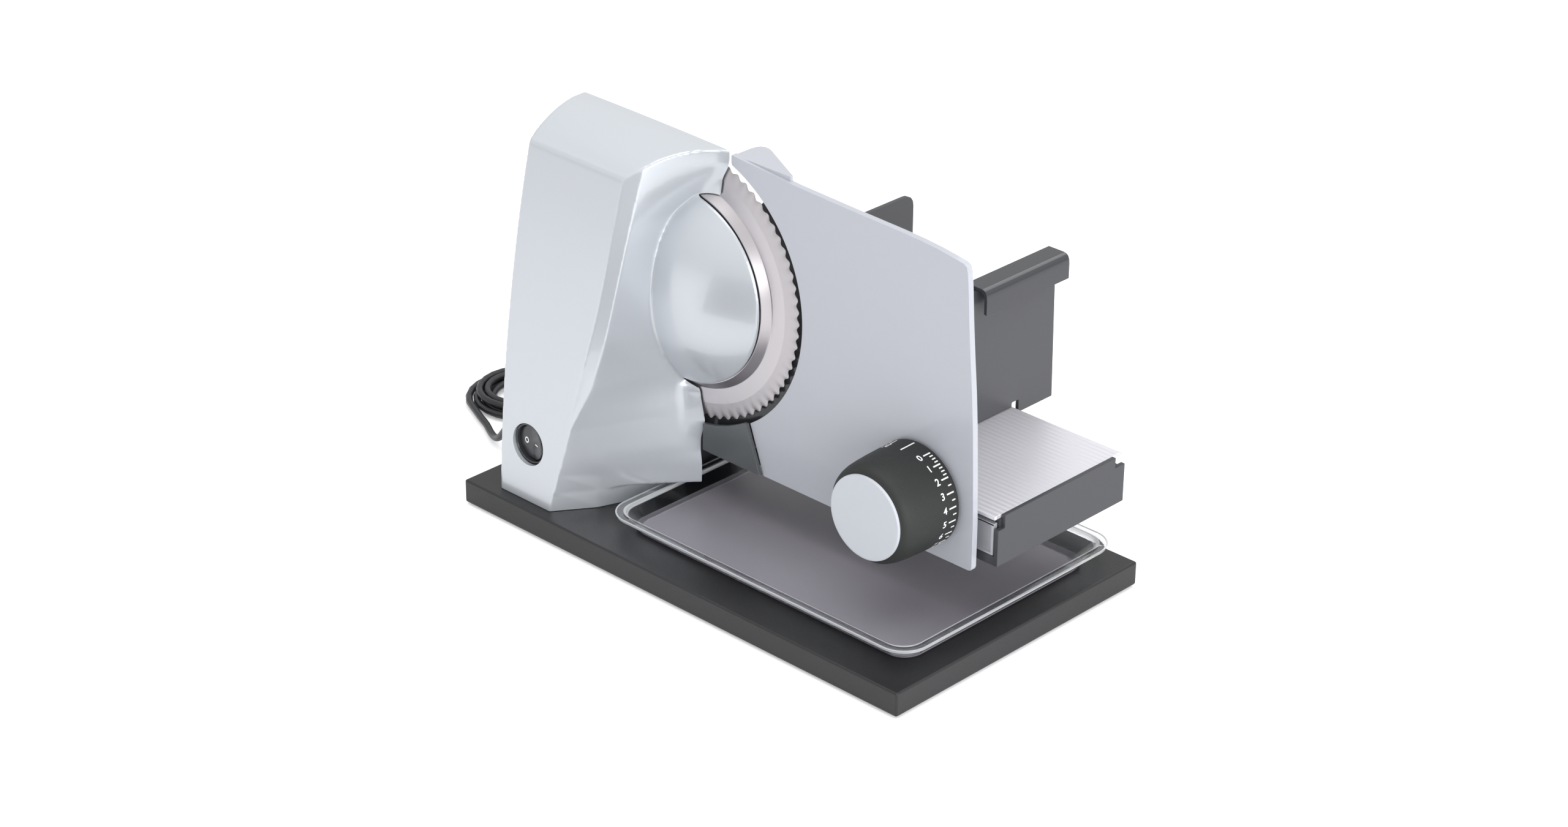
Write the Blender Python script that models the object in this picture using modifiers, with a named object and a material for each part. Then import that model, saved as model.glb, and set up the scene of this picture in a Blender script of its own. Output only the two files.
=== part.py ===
"""Electric food slicer with a round serrated blade, a gauge plate, a sliding food carriage and a tray.

Everything is drawn from the base plate: X along its length, Y = 0 at its front long edge and growing
towards the food side, Z = 0 at its underside. At the end all pieces move by SHIFT, which puts the
origin in the middle of the footprint, on the surface that the feet stand on.
"""
import bpy
import bmesh
from math import asin, cos, hypot, pi, radians, sin
from mathutils import Matrix, Vector

# Driving dimensions, metres
GAP = 0.0003
BASE_LENGTH = 0.350
BASE_WIDTH = 0.206
BASE_THICK = 0.015
FOOT_RADIUS = 0.008
FOOT_PROUD = 0.0012
OVERHANG = 0.0295
WALL = 0.0025
TOWER_LEFT = -0.152
TOWER_BACK = 0.0815
BLADE_X = -0.0648
BLADE_Z = 0.1548
BLADE_RADIUS = 0.085
BLADE_FRONT = 0.0830
BLADE_BACK = 0.0845
BLADE_TEETH = 72
BLADE_HUB = 0.0609
DOME_RADIUS = 0.0602
DOME_DEPTH = 0.0207
DOME_RIM = 0.0762
GAUGE_FRONT = 0.082
GAUGE_BACK = 0.086
GAUGE_ARC = BLADE_RADIUS + 0.004
GAUGE_TOP = BLADE_Z + GAUGE_ARC - 0.0003
DIAL_X = 0.1154
DIAL_Z = 0.086
DIAL_FRONT = 0.0363
DIAL_RADIUS = 0.0312
SWITCH_X = -0.1286
SWITCH_Z = 0.0517
SWITCH_RADIUS = 0.013
MODULE = 0.0015
ARM_TOP = 0.0534
TABLE_TOP = 0.084
TABLE_FRONT = 0.0903
TABLE_BACK = 0.1998
TABLE_END = 0.1633
WALL_FACE = 0.0827
PUSHER_TOP = 0.173
TRAY_RIM = 0.0251
CORD_THICK = 0.0045
COIL_X = -0.252
COIL_Y = 0.117
COIL_RADIUS = 0.0345
COIL_STEP = 0.00505
COIL_LAYER = 0.0050
TIE_THICK = 0.0008

FOOTPRINT = BASE_WIDTH + OVERHANG
SHIFT = Vector((0, -FOOTPRINT / 2, FOOT_PROUD))
BASE_TOP = BASE_THICK + GAP

for old in list(bpy.data.objects):
    bpy.data.objects.remove(old)

PARTS = bpy.data.collections.new("food_slicer")
CUTTERS = bpy.data.collections.new("cutters")
bpy.context.scene.collection.children.link(PARTS)
bpy.context.scene.collection.children.link(CUTTERS)


def material(name, colour, roughness, metallic=0.0):
    made = bpy.data.materials.new(name)
    made.use_nodes = True
    shader = made.node_tree.nodes["Principled BSDF"]
    shader.inputs["Base Color"].default_value = (*colour, 1)
    shader.inputs["Roughness"].default_value = roughness
    shader.inputs["Metallic"].default_value = metallic
    return made


PAINT = material("silver_grey_paint", (0.62, 0.65, 0.68), 0.3)
PLATE_PAINT = material("gauge_plate_paint", (0.53, 0.56, 0.63), 0.35)
BLACK_METAL = material("black_base_coating", (0.03, 0.03, 0.032), 0.35)
BLACK = material("black_plastic", (0.04, 0.04, 0.043), 0.4)
RUBBER = material("black_rubber", (0.02, 0.02, 0.02), 0.8)
STEEL = material("stainless_steel", (0.66, 0.65, 0.68), 0.25, 1.0)
ALUMINIUM = material("brushed_aluminium", (0.74, 0.74, 0.77), 0.35, 1.0)
CLEAR = material("clear_plastic", (0.8, 0.82, 0.84), 0.1)
WHITE_GEAR = material("gear_nylon", (0.78, 0.77, 0.72), 0.5)
CAP_GREY = material("dial_cap_grey", (0.62, 0.65, 0.72), 0.4)
BRASS = material("plug_pin_brass", (0.6, 0.5, 0.3), 0.3, 1.0)


def link(name, mesh, look=None):
    """An object with this mesh, a part when it has a look and a cutter when it has none."""
    made = bpy.data.objects.new(name, mesh)
    if look:
        mesh.materials.append(look)
        PARTS.objects.link(made)
    else:
        made.hide_render = True
        made.display_type = "WIRE"
        CUTTERS.objects.link(made)
    return made


def block(name, x, y, z, look=None, edge=0.0):
    """A box between the given limits, with its edges rounded."""
    mesh = bpy.data.meshes.new(name)
    bm = bmesh.new()
    bmesh.ops.create_cube(bm, size=1)
    size = Vector((x[1] - x[0], y[1] - y[0], z[1] - z[0]))
    middle = Vector((x[1] + x[0], y[1] + y[0], z[1] + z[0])) / 2
    bmesh.ops.scale(bm, vec=size, verts=bm.verts)
    bm.to_mesh(mesh)
    bm.free()
    made = link(name, mesh, look)
    made.location = middle
    if edge:
        bevel = made.modifiers.new("edges", "BEVEL")
        bevel.width = edge
        bevel.segments = 2
    return made


def rod(name, radius, centre, start, end, axis="Y", look=None, sides=32, tip=None):
    """A cylinder, or a cone when tip is given, along an axis between two places on it."""
    mesh = bpy.data.meshes.new(name)
    bm = bmesh.new()
    bmesh.ops.create_cone(bm, cap_ends=True, segments=sides, radius1=radius,
                          radius2=radius if tip is None else tip, depth=abs(end - start))
    bm.to_mesh(mesh)
    bm.free()
    made = link(name, mesh, look)
    middle = (start + end) / 2
    turn = 1 if end > start else -1
    if axis == "Y":
        made.location = (centre[0], middle, centre[1])
        made.rotation_euler = (-turn * pi / 2, 0, 0)
    elif axis == "X":
        made.location = (middle, centre[0], centre[1])
        made.rotation_euler = (0, turn * pi / 2, 0)
    else:
        made.location = (centre[0], centre[1], middle)
        made.rotation_euler = (0 if turn > 0 else pi, 0, 0)
    mesh.shade_smooth()
    mesh.set_sharp_from_angle(angle=radians(35))
    return made


def turned(name, profile, centre, look=None, steps=64):
    """A shape turned about a Y axis. The profile's points are (radius, y), from the back to the front."""
    mesh = bpy.data.meshes.new(name)
    bm = bmesh.new()
    dots = [bm.verts.new((radius, 0, y)) for radius, y in profile]
    loop = profile[0][0] > 0 and profile[-1][0] > 0
    for first, second in zip(dots, dots[1:]):
        bm.edges.new((first, second))
    if loop:
        bm.edges.new((dots[-1], dots[0]))
    bm.to_mesh(mesh)
    bm.free()
    made = link(name, mesh, look)
    screw = made.modifiers.new("turned", "SCREW")
    screw.steps = steps
    screw.render_steps = steps
    screw.use_merge_vertices = True
    screw.merge_threshold = 0.00001
    made.location = (centre[0], 0, centre[1])
    made.rotation_euler = (-pi / 2, 0, 0)
    return made


def outline(name, points, axis, low, high, look=None):
    """A flat outline with a thickness. Its points are (x, y), (x, z) or (y, z), across the axis."""
    curve = bpy.data.curves.new(name, "CURVE")
    curve.dimensions = "2D"
    curve.fill_mode = "BOTH"
    curve.extrude = (high - low) / 2
    spline = curve.splines.new("POLY")
    spline.points.add(len(points) - 1)
    for point, (u, v) in zip(spline.points, points):
        point.co = (u, v, 0, 1)
    spline.use_cyclic_u = True
    flat = bpy.data.objects.new(name + "_outline", curve)
    PARTS.objects.link(flat)
    bpy.context.view_layer.update()
    seen = flat.evaluated_get(bpy.context.evaluated_depsgraph_get())
    mesh = bpy.data.meshes.new_from_object(seen)
    bpy.data.objects.remove(flat)
    bpy.data.curves.remove(curve)
    mesh.name = name
    mesh.materials.clear()
    bm = bmesh.new()
    bm.from_mesh(mesh)
    bmesh.ops.remove_doubles(bm, verts=bm.verts, dist=0.000005)
    middle = (low + high) / 2
    if axis == "Y":
        turn = Matrix(((1, 0, 0, 0), (0, 0, -1, middle), (0, 1, 0, 0), (0, 0, 0, 1)))
    elif axis == "X":
        turn = Matrix(((0, 0, 1, middle), (1, 0, 0, 0), (0, 1, 0, 0), (0, 0, 0, 1)))
    else:
        turn = Matrix.Translation((0, 0, middle))
    bmesh.ops.transform(bm, matrix=turn, verts=bm.verts)
    bmesh.ops.recalc_face_normals(bm, faces=bm.faces)
    bm.to_mesh(mesh)
    bm.free()
    return link(name, mesh, look)


def loft(name, sections, look=None):
    """A solid through level sections that have the same number of points, counter-clockwise from above."""
    mesh = bpy.data.meshes.new(name)
    bm = bmesh.new()
    rings = [[bm.verts.new((x, y, z)) for x, y in points] for z, points in sections]
    count = len(rings[0])
    for lower, upper in zip(rings, rings[1:]):
        for i in range(count):
            j = (i + 1) % count
            bm.faces.new((lower[i], lower[j], upper[j], upper[i]))
    bm.faces.new(list(reversed(rings[0])))
    bm.faces.new(rings[-1])
    bmesh.ops.triangulate(bm, faces=bm.faces)
    bmesh.ops.recalc_face_normals(bm, faces=bm.faces)
    bm.to_mesh(mesh)
    bm.free()
    return link(name, mesh, look)


def combine(target, other, how="DIFFERENCE"):
    """A live Boolean. The other object becomes a guide that isn't a part."""
    step = target.modifiers.new(how.lower(), "BOOLEAN")
    step.operation = how
    step.solver = "EXACT"
    step.object = other
    return target


def pivot(made, point):
    """The object's origin moves to a point on its joint's axis, and its mesh stays."""
    move = Vector(point) - made.location
    made.data.transform(Matrix.Translation(-(made.rotation_euler.to_matrix().inverted() @ move)))
    made.location = point


def arc(centre, radius, start, end, count):
    """Points on an arc, angles in degrees."""
    steps = [radians(start + (end - start) * i / (count - 1)) for i in range(count)]
    return [(centre[0] + radius * cos(a), centre[1] + radius * sin(a)) for a in steps]


def inset(points, depth):
    """An open line moved to its right-hand side by a depth, corner by corner."""
    moved = []
    for i, (u, v) in enumerate(points):
        before = points[max(i - 1, 0)]
        after = points[min(i + 1, len(points) - 1)]
        du, dv = after[0] - before[0], after[1] - before[1]
        size = hypot(du, dv)
        moved.append((u + depth * dv / size, v - depth * du / size))
    return moved


# Base plate on four rubber feet
FEET = [(x * (BASE_LENGTH / 2 - 0.020), y) for y in (0.022, BASE_WIDTH - 0.022) for x in (-1, 1)]
base = block("base_plate", (-BASE_LENGTH / 2, BASE_LENGTH / 2), (0, BASE_WIDTH), (0, BASE_THICK),
             BLACK_METAL, edge=0.0012)
for number, (x, y) in enumerate(FEET, start=1):
    combine(base, rod("foot_socket_%d" % number, FOOT_RADIUS + GAP, (x, y), -0.002, 0.0015, axis="Z"))
    foot = rod("foot_%d" % number, FOOT_RADIUS, (x, y), FOOT_PROUD, -FOOT_PROUD, axis="Z",
               look=RUBBER, sides=24, tip=FOOT_RADIUS - 0.0006)

# Motor housing: a front and top profile crossed with a side that runs obliquely to the blade
PROFILE = [(0.0080, 0.0150), (0.0090, 0.034), (0.0103, 0.054), (0.0162, 0.112), (0.0218, 0.150),
           (0.0283, 0.187), (0.0361, 0.223), (0.0386, 0.2308), (0.0440, 0.2358), (0.0500, 0.2396),
           (0.0560, 0.2427), (0.0628, 0.2453), (0.0699, 0.2471), (0.0756, 0.2477), (0.084, 0.248)]
CORNER = [(0.0150, -0.1095, 0.0080), (0.027, -0.1064, 0.0088), (0.048, -0.101, 0.0100),
          (0.082, -0.0927, 0.0132), (0.1346, -0.0822, 0.0196), (0.1765, -0.0765, 0.0265),
          (0.2315, -0.0722, 0.0393), (0.252, -0.0706, 0.0450)]
EDGE = [(0.027, -0.0557), (0.040, -0.0557), (0.048, -0.0568), (0.060, -0.0585), (0.076, -0.0610),
        (0.092, -0.0640), (0.120, -0.0660), (0.180, -0.0660), (0.200, -0.0620), (0.212, -0.0540),
        (0.222, -0.0465), (0.232, -0.0395), (0.240, -0.0350), (0.252, -0.0327)]
LOW_EDGE = [(-0.0760, 0.0500), (-0.0568, 0.0560), (-0.0528, 0.0694), (-0.0558, 0.0834),
            (-0.0560, 0.0894), (-0.0639, 0.0920), (-0.0760, 0.0920)]
HIGH_EDGE = [(-0.0700, 0.2050), (-0.0500, 0.2088), (-0.0405, 0.2168), (-0.0390, 0.2286),
             (-0.0364, 0.2348), (-0.0450, 0.2400), (-0.0620, 0.2300)]


def corner_at(z):
    """Plan position of the front right corner at a height."""
    for (z0, x0, y0), (z1, x1, y1) in zip(CORNER, CORNER[1:]):
        if z <= z1:
            share = (z - z0) / (z1 - z0)
            return x0 + share * (x1 - x0), y0 + share * (y1 - y0)
    return CORNER[-1][1:]


def side_section(z, edge_x, depth, front):
    """Plan of the housing at a height, with its oblique side moved in by depth."""
    x0, y0 = corner_at(z)
    x1, y1 = edge_x, TOWER_BACK
    run = hypot(x1 - x0, y1 - y0)
    nx, ny = -(y1 - y0) / run, (x1 - x0) / run
    line = []
    for share in (-0.35, 0, 0.25, 0.5, 0.75, 1.01, 1.2):
        sag = (0.0035 if z < 0.05 else 0.0010) * sin(pi * min(max(share, 0), 1))
        move = depth + max(sag, 0) * (0 < share < 1)
        line.append((x0 + share * (x1 - x0) + nx * move, y0 + share * (y1 - y0) + ny * move))
    left = TOWER_LEFT + depth - (0.02 if depth == 0 else 0)
    back = line[-1][1]
    return [(left, back), (left, front)] + line


def housing_form(name, depth, bottom, look=None, rings=7, steps=48):
    """The whole housing as a solid, drawn in by depth."""
    front = inset(PROFILE, depth) if depth else PROFILE
    back = TOWER_BACK + (0.008 if depth else 0.004)
    points = [(back, bottom)] + [(front[0][0], bottom)]
    points += [(y, z) for y, z in front if bottom < z - 0.0001 and y < back - 0.0001]
    points += [(back, max(z for y, z in front))]
    form = outline(name, list(reversed(points)), "X", TOWER_LEFT + depth, 0.02, look)
    sections = [(z + (depth if z == EDGE[0][0] else 0), side_section(z, x, depth, -0.02))
                for z, x in EDGE]
    side = loft(name + "_side", sections)
    foot = [(TOWER_LEFT - 0.01 + depth * (1 + 0.01 / WALL if depth else 0), 0.1),
            (TOWER_LEFT - 0.01 + depth * (1 + 0.01 / WALL if depth else 0), -0.02),
            (-0.1125 - depth, -0.02), (-0.1095 - depth, 0.0080), (-0.1075 - depth, 0.0120),
            (-0.0923 - depth, 0.0325), (-0.0782 - depth, 0.0705), (-0.0775 - depth, 0.1)]
    lower = loft(name + "_foot", [(0.005, foot), (0.040, foot)])
    combine(side, lower, "UNION")
    combine(form, side, "INTERSECT")
    radius = (DOME_RADIUS ** 2 + DOME_DEPTH ** 2) / (2 * DOME_DEPTH)
    centre = DOME_RIM - DOME_DEPTH + radius
    start = asin(DOME_RADIUS / radius)
    curve = [start * (rings - i) / rings for i in range(rings + 1)]
    bowl = [((radius - depth) * sin(a), centre - (radius - depth) * cos(a)) for a in curve]
    bowl[-1] = (0, bowl[-1][1])
    dome = [(0, back + 0.001), (bowl[0][0], back + 0.001)] + bowl
    combine(form, turned(name + "_dome", dome, (BLADE_X, BLADE_Z), steps=steps), "UNION")
    return form


housing = housing_form("motor_housing", 0, BASE_TOP, PAINT)
combine(housing, outline("housing_low_flange", LOW_EDGE, "Y", 0.0793, 0.0853), "UNION")
combine(housing, outline("housing_high_flange", HIGH_EDGE, "Y", 0.0791, 0.0851), "UNION")
combine(housing, block("housing_back_cut", (-0.2, 0.1), (TOWER_BACK, 0.12), (0, 0.3)))
combine(housing, housing_form("housing_inside", WALL, 0.010))
combine(housing, rod("bead_room", BLADE_HUB + 0.0056, (BLADE_X, BLADE_Z), DOME_RIM + 0.0006, 0.09, sides=72))
combine(housing, rod("switch_hole", SWITCH_RADIUS, (SWITCH_X, SWITCH_Z), -0.01, 0.03, sides=40))
GLAND_Y = 0.056
GLAND_Z = 0.026
combine(housing, rod("gland_hole", 0.0055, (GLAND_Y, GLAND_Z), -0.17, -0.14, axis="X", sides=24))

# Gear plate that closes the back of the housing and carries the drive
IDLER_X = BLADE_X + 30 * MODULE * cos(radians(200))
IDLER_Z = BLADE_Z + 30 * MODULE * sin(radians(200))
MOTOR_X = IDLER_X + 26 * MODULE * cos(radians(262))
MOTOR_Z = IDLER_Z + 26 * MODULE * sin(radians(262))
gear_plate = block("gear_plate", (-0.16, 0.01), (0.0759, 0.0773), (BASE_TOP, 0.26), ALUMINIUM)
combine(gear_plate, housing_form("gear_plate_form", WALL + GAP, 0.010, rings=3), "INTERSECT")
combine(gear_plate, rod("hub_hole", 0.0124, (BLADE_X, BLADE_Z), 0.07, 0.09, sides=40))
idler_pin = rod("idler_pin", 0.003, (IDLER_X, IDLER_Z), 0.0756, 0.0575, look=STEEL, sides=24)


def gear_outline(teeth, phase):
    """Teeth as trapezoids that leave a little play, with a tooth at the phase in degrees."""
    pitch = teeth * MODULE / 2
    step = 2 * pi / teeth
    points = []
    for k in range(teeth):
        middle = radians(phase) + k * step
        for part, radius in ((-0.24, pitch - 1.2 * MODULE), (-0.11, pitch + 0.75 * MODULE),
                             (0.11, pitch + 0.75 * MODULE), (0.24, pitch - 1.2 * MODULE)):
            points.append((radius * cos(middle + part * step), radius * sin(middle + part * step)))
    return points


def gear(name, centre, teeth, phase, low, high, look=None):
    points = [(centre[0] + u, centre[1] + v) for u, v in gear_outline(teeth, phase)]
    made = outline(name, points, "Y", low, high, look)
    pivot(made, (centre[0], 0, centre[1]))
    return made


blade_gear = gear("blade_gear", (BLADE_X, BLADE_Z), 48, 200, 0.069, 0.075, WHITE_GEAR)
combine(blade_gear, rod("blade_hub_form", 0.012, (BLADE_X, BLADE_Z), 0.0665, 0.0816, sides=40), "UNION")
combine(blade_gear, rod("blade_hub_bore", 0.0033, (BLADE_X, BLADE_Z), 0.072, 0.090, sides=24))
idler = gear("idler_gear", (IDLER_X, IDLER_Z), 40, 262, 0.060, 0.066, WHITE_GEAR)
combine(idler, gear("idler_pinion_form", (IDLER_X, IDLER_Z), 12, 5, 0.065, 0.0755), "UNION")
combine(idler, rod("idler_bore", 0.0033, (IDLER_X, IDLER_Z), 0.05, 0.08, sides=24))

# Motor can in its cradle, and in it the armature: its rotor, shaft and pinion in one piece
motor = rod("motor_body", 0.020, (MOTOR_X, MOTOR_Z), 0.024, 0.056, look=BLACK_METAL, sides=40)
combine(motor, rod("rotor_space", 0.0157, (MOTOR_X, MOTOR_Z), 0.0265, 0.0540, sides=40))
combine(motor, rod("motor_bore", 0.0029, (MOTOR_X, MOTOR_Z), 0.053, 0.060, sides=24))
armature = gear("motor_pinion", (MOTOR_X, MOTOR_Z), 12, 67, 0.0595, 0.0665, STEEL)
combine(armature, rod("armature_shaft", 0.0025, (MOTOR_X, MOTOR_Z), 0.0405, 0.061, sides=24), "UNION")
combine(armature, rod("rotor_form", 0.0151, (MOTOR_X, MOTOR_Z), 0.0270, 0.0535, sides=40), "UNION")
cradle = block("motor_bracket", (-0.138, -0.095), (0.038, 0.048), (BASE_TOP, 0.094), ALUMINIUM)
combine(cradle, rod("cradle_form", 0.0203, (MOTOR_X, MOTOR_Z), 0.03, 0.06, sides=40))

# Blade: a scalloped disc with a raised middle, screwed to its hub
scallops = []
for k in range(BLADE_TEETH):
    for share, drop in ((-0.5, 0.0022), (-0.27, 0.0010), (0, 0), (0.27, 0.0010)):
        angle = 2 * pi * (k + share) / BLADE_TEETH
        radius = BLADE_RADIUS - drop
        scallops.append((BLADE_X + radius * cos(angle), BLADE_Z + radius * sin(angle)))
blade = outline("blade", scallops, "Y", BLADE_FRONT, BLADE_BACK, STEEL)
pivot(blade, (BLADE_X, 0, BLADE_Z))
raised = [(0, 0.0842), (BLADE_HUB + 0.0039, 0.0842), (BLADE_HUB + 0.0044, 0.0829), (BLADE_HUB, 0.0778),
          (BLADE_HUB - 0.0013, 0.0778), (BLADE_HUB - 0.0036, 0.0819), (0, 0.0819)]
combine(blade, turned("blade_raised_form", raised, (BLADE_X, BLADE_Z), steps=72), "UNION")
combine(blade, rod("blade_bore", 0.0033, (BLADE_X, BLADE_Z), 0.07, 0.09, sides=24))
head = rod("blade_lock_screw", 0.009, (BLADE_X, BLADE_Z), BLADE_BACK + GAP, 0.0870, look=STEEL)
combine(head, rod("lock_shank_form", 0.0030, (BLADE_X, BLADE_Z), 0.074, 0.0855, sides=24), "UNION")
combine(head, block("lock_slot", (BLADE_X - 0.012, BLADE_X + 0.012), (0.0860, 0.09),
                    (BLADE_Z - 0.001, BLADE_Z + 0.001)))

# Support arm behind the housing, with open grooves for the gauge bars
arm = block("support_arm", (-0.140, -0.080), (0.096, 0.140), (BASE_TOP, ARM_TOP), BLACK)
combine(arm, block("arm_beam_form", (-0.090, 0.135), (0.0965, 0.1395), (0.0455, ARM_TOP - 0.0001)),
        "UNION")
BARS = [(0.020, 0.034), (0.080, 0.094)]
for number, (low, high) in enumerate(BARS, start=1):
    combine(arm, block("bar_groove_%d" % number, (low - GAP, high + GAP), (0.09, 0.15), (0.050, 0.06)))
    bar = block("gauge_bar_%d" % number, (low, high), (GAUGE_BACK + GAP, 0.139), (0.0503, 0.0531),
                ALUMINIUM)
guide = block("slide_guide", (-0.075, 0.050), (0.0965, 0.112), (ARM_TOP + GAP, 0.079), BLACK)
combine(guide, block("guide_slot", (-0.09, 0.07), (0.09, 0.1025), (0.0657, 0.0723)))

# Lower blade guard and the black ring round the blade
face = [(-0.0522, 0.0510), (-0.0056, 0.0510), (-0.0168, 0.0807)]
face += arc((BLADE_X, BLADE_Z), BLADE_RADIUS + 0.0023, -58.5, -82, 12)
face[-1] = (-0.0522, face[-1][1])
blade_guard = outline("blade_guard", face, "Y", 0.0790, 0.0816, BLACK)
stem = [(-0.0500, 0.0515), (-0.0220, 0.0515)] + arc((BLADE_X, BLADE_Z), BLADE_RADIUS + 0.0073, -62, -80.5, 8)
combine(blade_guard, outline("guard_stem_form", stem, "Y", 0.0800, 0.0893), "UNION")
combine(blade_guard, block("guard_leg_form", (-0.0490, -0.0230), (0.0805, 0.0957), (0.0495, ARM_TOP)), "UNION")
ring = arc((BLADE_X, BLADE_Z), BLADE_RADIUS + 0.007, -88, 50.5, 46)
ring += arc((BLADE_X, BLADE_Z), BLADE_RADIUS - 0.0065, 50.5, -88, 46)
guard_ring = outline("guard_ring", ring, "Y", 0.0864, 0.0890, BLACK)

# Gauge plate with its upper fin, and the dial that sets the slice thickness
plate = [(-0.0320, GAUGE_TOP), (-0.0320, GAUGE_TOP - 0.0050)]
plate += arc((BLADE_X, BLADE_Z), GAUGE_ARC, 68, -56.8, 40)
plate += [(-0.0050, 0.0500), (0.1534, 0.0498), (0.1548, 0.0512), (0.1548, 0.0800), (0.1524, 0.136),
          (0.1488, 0.179), (0.1467, 0.200), (0.1448, 0.2240), (0.1437, 0.2320),
          (0.1395, GAUGE_TOP - 0.0072), (0.1310, GAUGE_TOP - 0.0055), (0.109, GAUGE_TOP - 0.0045),
          (0.064, GAUGE_TOP - 0.0032), (0.018, GAUGE_TOP - 0.0015)]
gauge_plate = outline("gauge_plate", plate, "Y", GAUGE_FRONT, GAUGE_BACK, PLATE_PAINT)
fin = [(-0.0320, 0.0840), (0.0110, 0.0840), (0.0110, 0.0865), (-0.0212, 0.1035), (-0.0275, 0.1050),
       (-0.0312, 0.1022), (-0.0320, 0.0930)]
combine(gauge_plate, outline("gauge_fin_form", fin, "Z", GAUGE_TOP - 0.0035, GAUGE_TOP - 0.0006), "UNION")
combine(gauge_plate, rod("dial_hole", 0.0084, (DIAL_X, DIAL_Z), 0.07, 0.1, sides=32))
knob = [(0, 0.0885), (0.008, 0.0885), (0.008, 0.0480), (0.0285, 0.0480), (0.0290, 0.0797),
        (DIAL_RADIUS, 0.0797), (DIAL_RADIUS - 0.0004, 0.0600), (0.0296, 0.0440), (0.0280, 0.0402),
        (0.0262, 0.0389), (0, 0.0385)]
dial = turned("dial_knob", knob, (DIAL_X, DIAL_Z), BLACK, steps=64)
cap = turned("dial_cap", [(0, 0.0382), (0.0253, 0.0382), (0.0253, 0.0369), (0.0247, DIAL_FRONT),
                          (0, DIAL_FRONT)], (DIAL_X, DIAL_Z), CAP_GREY, steps=64)

# Rocker switch in a round cup in the housing's front
cup = [(0, 0.0290), (0.0126, 0.0290), (0.0126, 0.0118), (0.0114, 0.0118), (0.0114, 0.0260), (0, 0.0260)]
turned("switch_body", cup, (SWITCH_X, SWITCH_Z), BLACK, steps=40)
ROCKER_Y = 0.0155
TILT = radians(-8)
rocker = outline("switch_rocker",
                 [(0.0100, -0.0028), (0.0100, 0.0020), (0.0060, 0.0062), (-0.0060, 0.0062),
                  (-0.0100, 0.0020), (-0.0100, -0.0028), (0, -0.0016)],
                 "Z", -0.009, 0.009, BLACK)
combine(rocker, rod("rocker_round", 0.0103, (SWITCH_X, SWITCH_Z), 0.0, 0.04, sides=40), "INTERSECT")
combine(rocker, rod("rocker_pins", 0.0010, (SWITCH_X, ROCKER_Y), SWITCH_Z - 0.0110, SWITCH_Z + 0.0110,
                    axis="Z", sides=16), "UNION")
rocker.location = (SWITCH_X, ROCKER_Y, SWITCH_Z)
rocker.rotation_euler = (0, 0, TILT)

# Food carriage: table, black frame with its end plate, rail and the upright wall
table = block("carriage_table", (-0.038, TABLE_END), (TABLE_FRONT, TABLE_BACK), (0.0818, TABLE_TOP),
              ALUMINIUM)
end = [(0.0900, 0.0540), (0.2000, 0.0540), (0.2000, 0.0780), (0.1915, 0.0780), (0.1915, 0.0845),
       (0.0956, 0.0845), (0.0956, 0.0767), (0.0900, 0.0767)]
frame = outline("carriage_frame", end, "X", 0.1637, 0.1665, BLACK)
combine(frame, block("frame_lip_form", (-0.036, 0.165), (0.0901, 0.0930), (0.0541, 0.0595)), "UNION")
combine(frame, block("frame_back_form", (-0.036, 0.165), (0.1960, 0.1985), (0.0542, 0.0766)), "UNION")
combine(frame, block("frame_seat_form", (-0.036, 0.1645), (0.1870, 0.1975), (0.0745, 0.0765)), "UNION")
combine(frame, block("frame_pad_form", (-0.036, 0.1640), (0.1880, 0.1900), (0.0755, 0.0815)), "UNION")
rail = block("carriage_rail", (-0.036, 0.1615), (0.0910, 0.0935), (0.0598, 0.0815), ALUMINIUM)
combine(rail, block("rail_rib_form", (-0.035, 0.1600), (0.0930, 0.1020), (0.0660, 0.0720)), "UNION")
panel = [(0.0940, TABLE_TOP + GAP), (0.2030, TABLE_TOP + GAP), (0.2030, 0.0787), (0.2335, 0.0787),
         (0.2335, 0.1640), (0.2290, 0.1706), (0.0990, 0.1706), (0.0940, 0.1640)]
wall = outline("carriage_wall", panel, "X", 0.0802, WALL_FACE, BLACK)

# Pusher that rides along the wall and presses the food to the blade
hook = [(0.0740, 0.0850), (0.0765, 0.0850), (0.0765, 0.1710), (0.0886, 0.1710), (0.0888, 0.1580),
        (0.0908, 0.1575), (0.0908, 0.1700), (0.0900, 0.1722), (0.0880, PUSHER_TOP), (0.0750, PUSHER_TOP),
        (0.0740, 0.1720)]
pusher = outline("pusher", hook, "Y", 0.1630, 0.2355, BLACK)
wing = [(0.1600, 0.0850), (0.2355, 0.0850), (0.2355, 0.1670), (0.2335, 0.1715), (0.2290, 0.1735),
        (0.1640, 0.1735), (0.1600, 0.1700)]
combine(pusher, outline("pusher_wing_form", wing, "X", -0.0327, -0.0302), "UNION")
combine(pusher, block("pusher_face_form", (-0.0310, 0.0755), (0.1602, 0.1632), (0.0852, 0.1690)), "UNION")
for row in range(3):
    for column in range(6):
        spike = rod("spike_form_%d" % (row * 6 + column), 0.0016,
                    (-0.018 + 0.0165 * column + 0.005 * (row % 2), 0.100 + 0.022 * row), 0.1610, 0.1575,
                    sides=8, tip=0.0004)
        combine(pusher, spike, "UNION")


def rounded(x, y, radius):
    """A rectangle with rounded corners, counter-clockwise."""
    corners = [((x[1] - radius, y[0] + radius), -90), ((x[1] - radius, y[1] - radius), 0),
               ((x[0] + radius, y[1] - radius), 90), ((x[0] + radius, y[0] + radius), 180)]
    points = []
    for centre, start in corners:
        points += arc(centre, radius, start, start + 90, 7)
    return points


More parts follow.
